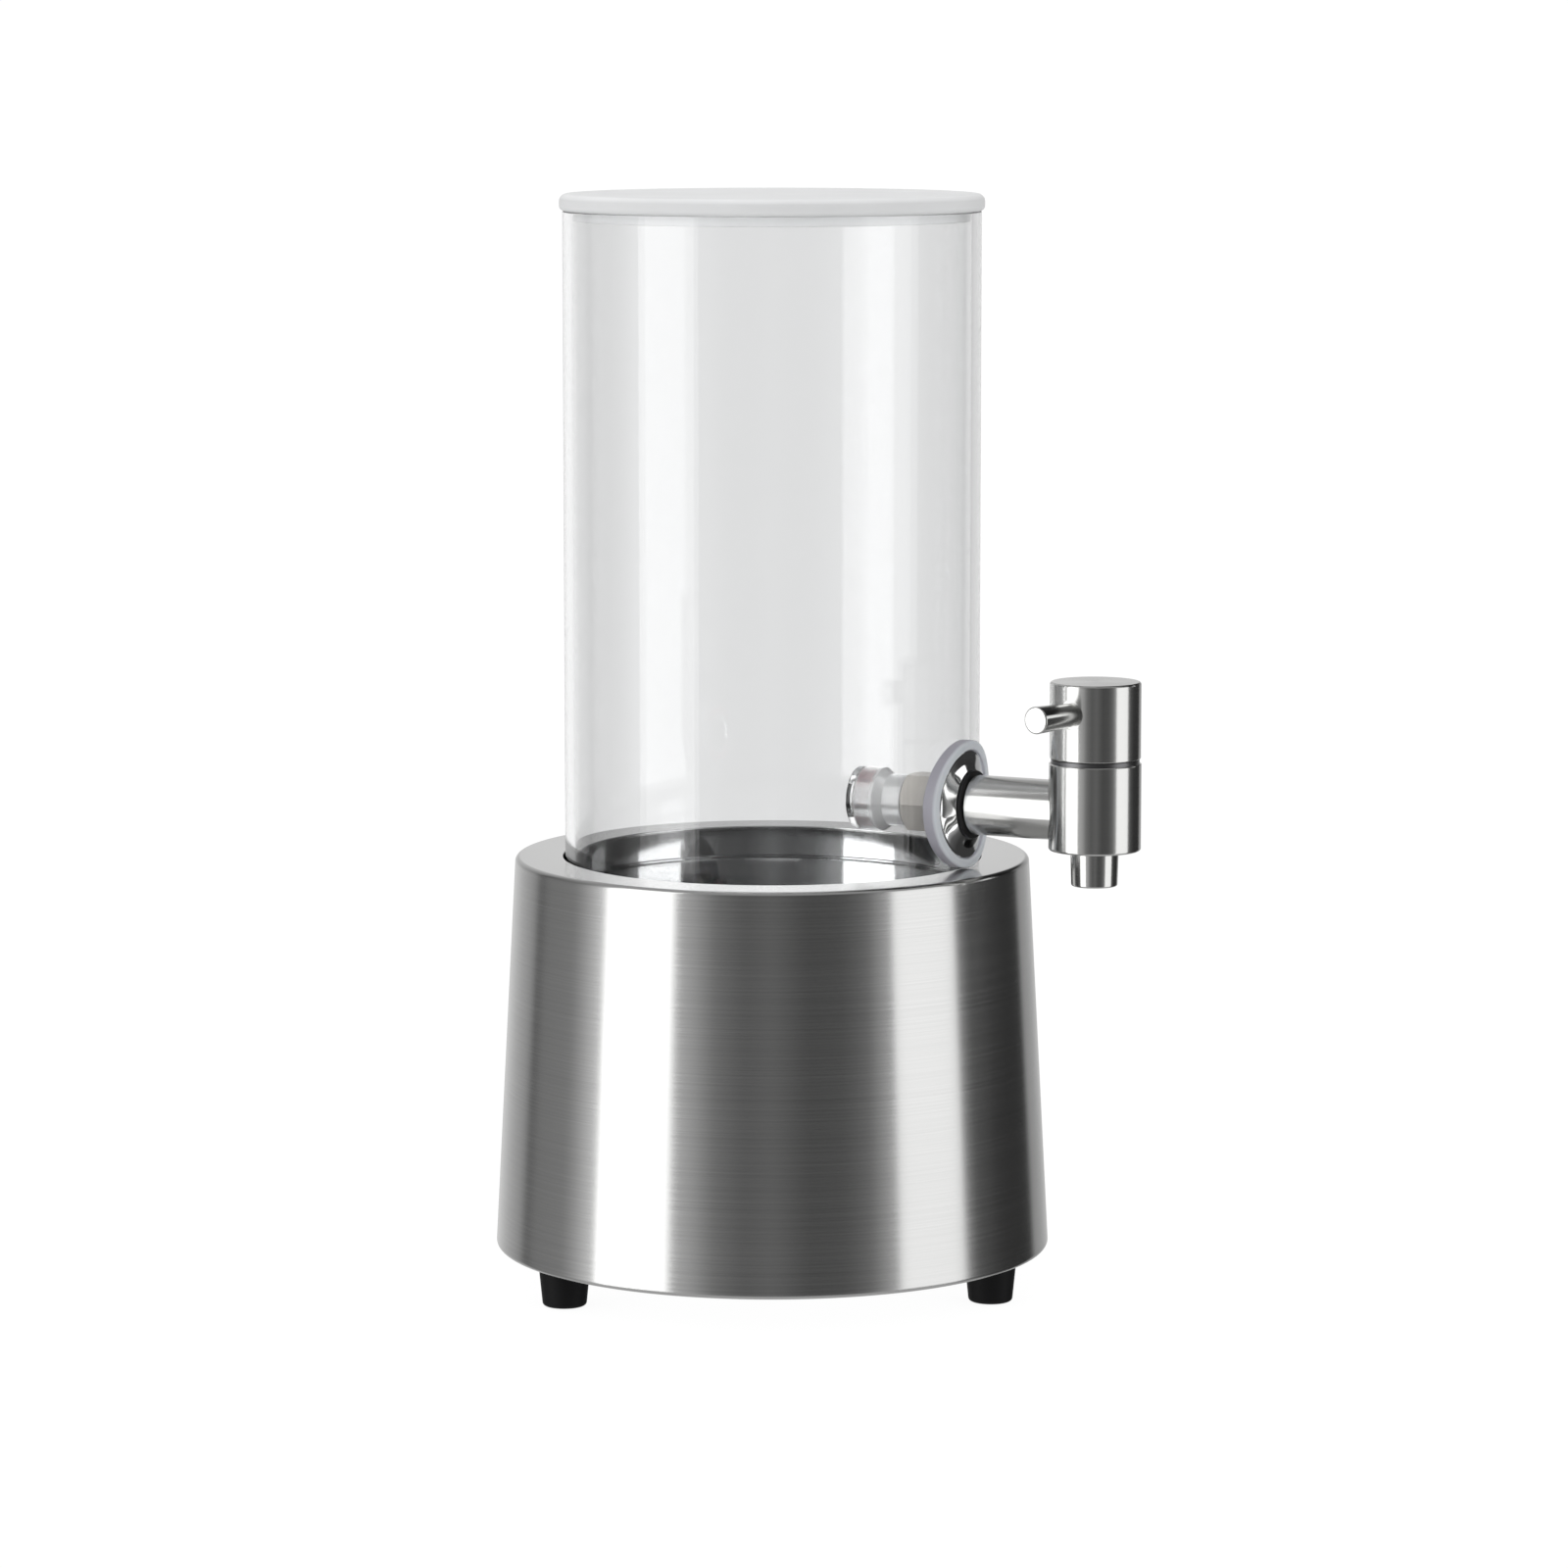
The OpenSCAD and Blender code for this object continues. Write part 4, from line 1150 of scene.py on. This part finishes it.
# Radius and height of the backdrop, radius of its rounded corners and its depth below the feet
BACKDROP_RADIUS = 3.4
BACKDROP_TOP = 3.8
BACKDROP_CORNER = 1.2
BACKDROP_LOW = -0.2 * MM


class StudioStage(bpy.types.Operator):
    """Pale floor and backdrop, softboxes, the studio's glow and the camera"""

    bl_idname = "drink_tower.studio_stage"
    bl_label = "Studio stage"

    def execute(self, context):
        scene = context.scene
        size = scene.tower_stage
        backdrop = turned("studio_backdrop", [
            (0, BACKDROP_LOW, 0), (BACKDROP_RADIUS, BACKDROP_LOW, BACKDROP_CORNER),
            (BACKDROP_RADIUS, BACKDROP_TOP, BACKDROP_CORNER), (0, BACKDROP_TOP, 0),
        ], backdrop_paper(size), FEW_SEGMENTS)
        backdrop.visible_glossy = False
        backdrop.visible_transmission = False
        for name, glow, degrees, _, width, bottom, top in SOFTBOXES:
            angle = size.camera_bearing + math.radians(degrees)
            softbox(name, angle, width, bottom, top, getattr(size, glow))
        studio_glow(scene, size)
        camera_data = bpy.data.cameras.new("studio_camera")
        camera_data.lens = size.camera_lens
        camera_data.clip_end = 20
        camera = linked("studio_camera", camera_data)
        bearing = size.camera_bearing
        camera.location = (
            size.camera_distance * math.cos(bearing), size.camera_distance * math.sin(bearing),
            size.camera_height,
        )
        camera.rotation_euler = (
            math.pi / 2 - size.camera_pitch, 0, bearing + math.pi / 2 - size.camera_turn,
        )
        scene.camera = camera
        scene.view_settings.view_transform = "Standard"
        return {"FINISHED"}


def backdrop_paper(size):
    """Pale paper that glows a little, so that only a soft shadow shows on it"""
    made = Finish("backdrop", Roughness=1.0, Specular_IOR_Level=0.0,
                  Emission_Color=(1, 1, 1, 1), Emission_Strength=size.backdrop_glow)
    grain = made.noise(3.0, 2.0, 0.5)
    made.give(Base_Color=made.drift(grain, size.backdrop, 0.98, 1.02, 0.0, 1.0))
    made.material.cycles.emission_sampling = "NONE"
    return made.material


def softbox(name, angle, width, bottom, top, glow):
    """Area light beside the camera, seen in reflections only"""
    height = top - bottom
    light = bpy.data.lights.new(name, "AREA")
    light.shape = "RECTANGLE"
    light.size = width
    light.size_y = height
    light.energy = glow * width * height * AREA_POWER
    lamp = linked(name, light)
    lamp.location = (
        SOFTBOX_DISTANCE * math.cos(angle), SOFTBOX_DISTANCE * math.sin(angle), (top + bottom) / 2,
    )
    lamp.rotation_euler = (math.pi / 2, 0, angle + math.pi / 2)
    lamp.visible_camera = False
    lamp.visible_transmission = False


def studio_glow(scene, size):
    """Surroundings of the stage: white to soft light and straight through the tube, and to
    mirrored rays the studio, with the softboxes painted in for those that leave through the tube
    """
    world = bpy.data.worlds.new("studio_glow")
    scene.world = world
    world.use_nodes = True
    world.node_tree.nodes.clear()
    sky = Nodes(world.node_tree)
    maths = sky.maths
    x, y, z = sky.parts(sky.add("ShaderNodeTexCoord").outputs["Generated"])
    heading = maths("SUBTRACT", maths("ARCTAN2", y, x), size.camera_bearing)
    around = maths("WRAP", heading, math.pi, -math.pi)
    ramp = sky.add("ShaderNodeValToRGB", {0: maths("MULTIPLY_ADD", around, 1 / math.tau, 0.5)})
    stops = ramp.color_ramp.elements
    for degrees, grey in STUDIO[1:-1]:
        stops.new(degrees / 360 + 0.5).color = (grey, grey, grey, 1)
    for end in (0, -1):
        stops[end].color = (*[STUDIO[end][1]] * 3, 1)
    tone = ramp.outputs[0]
    for fade in FADES:
        tone = sky.blend(sky.spread(z, 0.0, 1.0, *fade), tone, EVEN_GREY)
    dark = maths(
        "MULTIPLY", sky.spread(z, 0.0, 1.0, *DARK_HEIGHTS),
        maths("MULTIPLY", sky.spread(around, 0.0, DARKNESS, *DARK_START),
              sky.spread(around, 1.0, 0.0, *DARK_END)))
    above = maths("MULTIPLY", sky.spread(z, 1.0, DIMMED, *DIMS), maths("SUBTRACT", 1.0, dark))
    path = sky.add("ShaderNodeLightPath").outputs
    through = path["Is Transmission Ray"]
    soft = maths("GREATER_THAN", path["Diffuse Depth"], 0.5)
    white = maths("MAXIMUM", soft, maths("LESS_THAN", path["Glossy Depth"], 0.5))
    mirrored = maths("MULTIPLY", above, sky.between(through, 1.0, THROUGH_TUBE))
    level = sky.between(white, mirrored, sky.between(soft, 1.0, IN_TUBE))
    painted = 0.0
    for _, glow, degrees, half, *_ in SOFTBOXES:
        if half:
            window = maths("COMPARE", around, math.radians(degrees), math.radians(half))
            painted = maths("MULTIPLY_ADD", window, getattr(size, glow), painted)
    deep = maths("GREATER_THAN", path["Transmission Depth"], RECESS_WALLS)
    card = maths("MULTIPLY", painted, sky.between(deep, THROUGH_TUBE, IN_RECESS))
    card = maths("MULTIPLY", card, maths("MULTIPLY", through, maths("SUBTRACT", 1.0, white)))
    boxed = maths("GREATER_THAN", card, 0.0)
    background = sky.add("ShaderNodeBackground", {
        "Color": sky.blend(maths("MAXIMUM", white, boxed), tone, WHITE),
        "Strength": sky.between(boxed, level, card),
    })
    sky.add("ShaderNodeOutputWorld", {"Surface": background.outputs[0]})
    world.cycles.sampling_method = "NONE"
    seen = world.cycles_visibility
    seen.camera = False
    seen.diffuse = False
    seen.scatter = False


# Sidebar

STEPS = (
    BaseShell, SeatBowl, Feet, Underside, ClearTube, TubeLid, OuterGasket, TapFlange, TapPipe,
    Inlet, TapBody, TapHandle, StudioStage,
)


class TowerPanel(bpy.types.Panel):
    """Lists the tower's pieces and its sizes and colours"""

    bl_idname = "VIEW3D_PT_drink_tower"
    bl_label = "Drink Tower"
    bl_space_type = "VIEW_3D"
    bl_region_type = "UI"
    bl_category = "Drink Tower"

    def draw(self, context):
        pieces = self.layout.column(align=True)
        for step in STEPS:
            pieces.operator(step.bl_idname)
        for name, group in SETTINGS.items():
            box = self.layout.box()
            box.label(text=group.__doc__)
            for key in group.__annotations__:
                box.prop(getattr(context.scene, name), key)


CLASSES = (*SETTINGS.values(), *STEPS, TowerPanel)


def register():
    """Adds the classes and the scene's settings"""
    for item in CLASSES:
        bpy.utils.register_class(item)
    for name, group in SETTINGS.items():
        setattr(bpy.types.Scene, name, bpy.props.PointerProperty(type=group))


def unregister():
    """Removes the scene's settings and the classes"""
    for name in SETTINGS:
        delattr(bpy.types.Scene, name)
    for item in reversed(CLASSES):
        bpy.utils.unregister_class(item)


def main():
    """Makes every piece and the stage"""
    register()
    for step in STEPS:
        group, name = step.bl_idname.split(".")
        getattr(getattr(bpy.ops, group), name)()


if __name__ == "__main__":
    main()
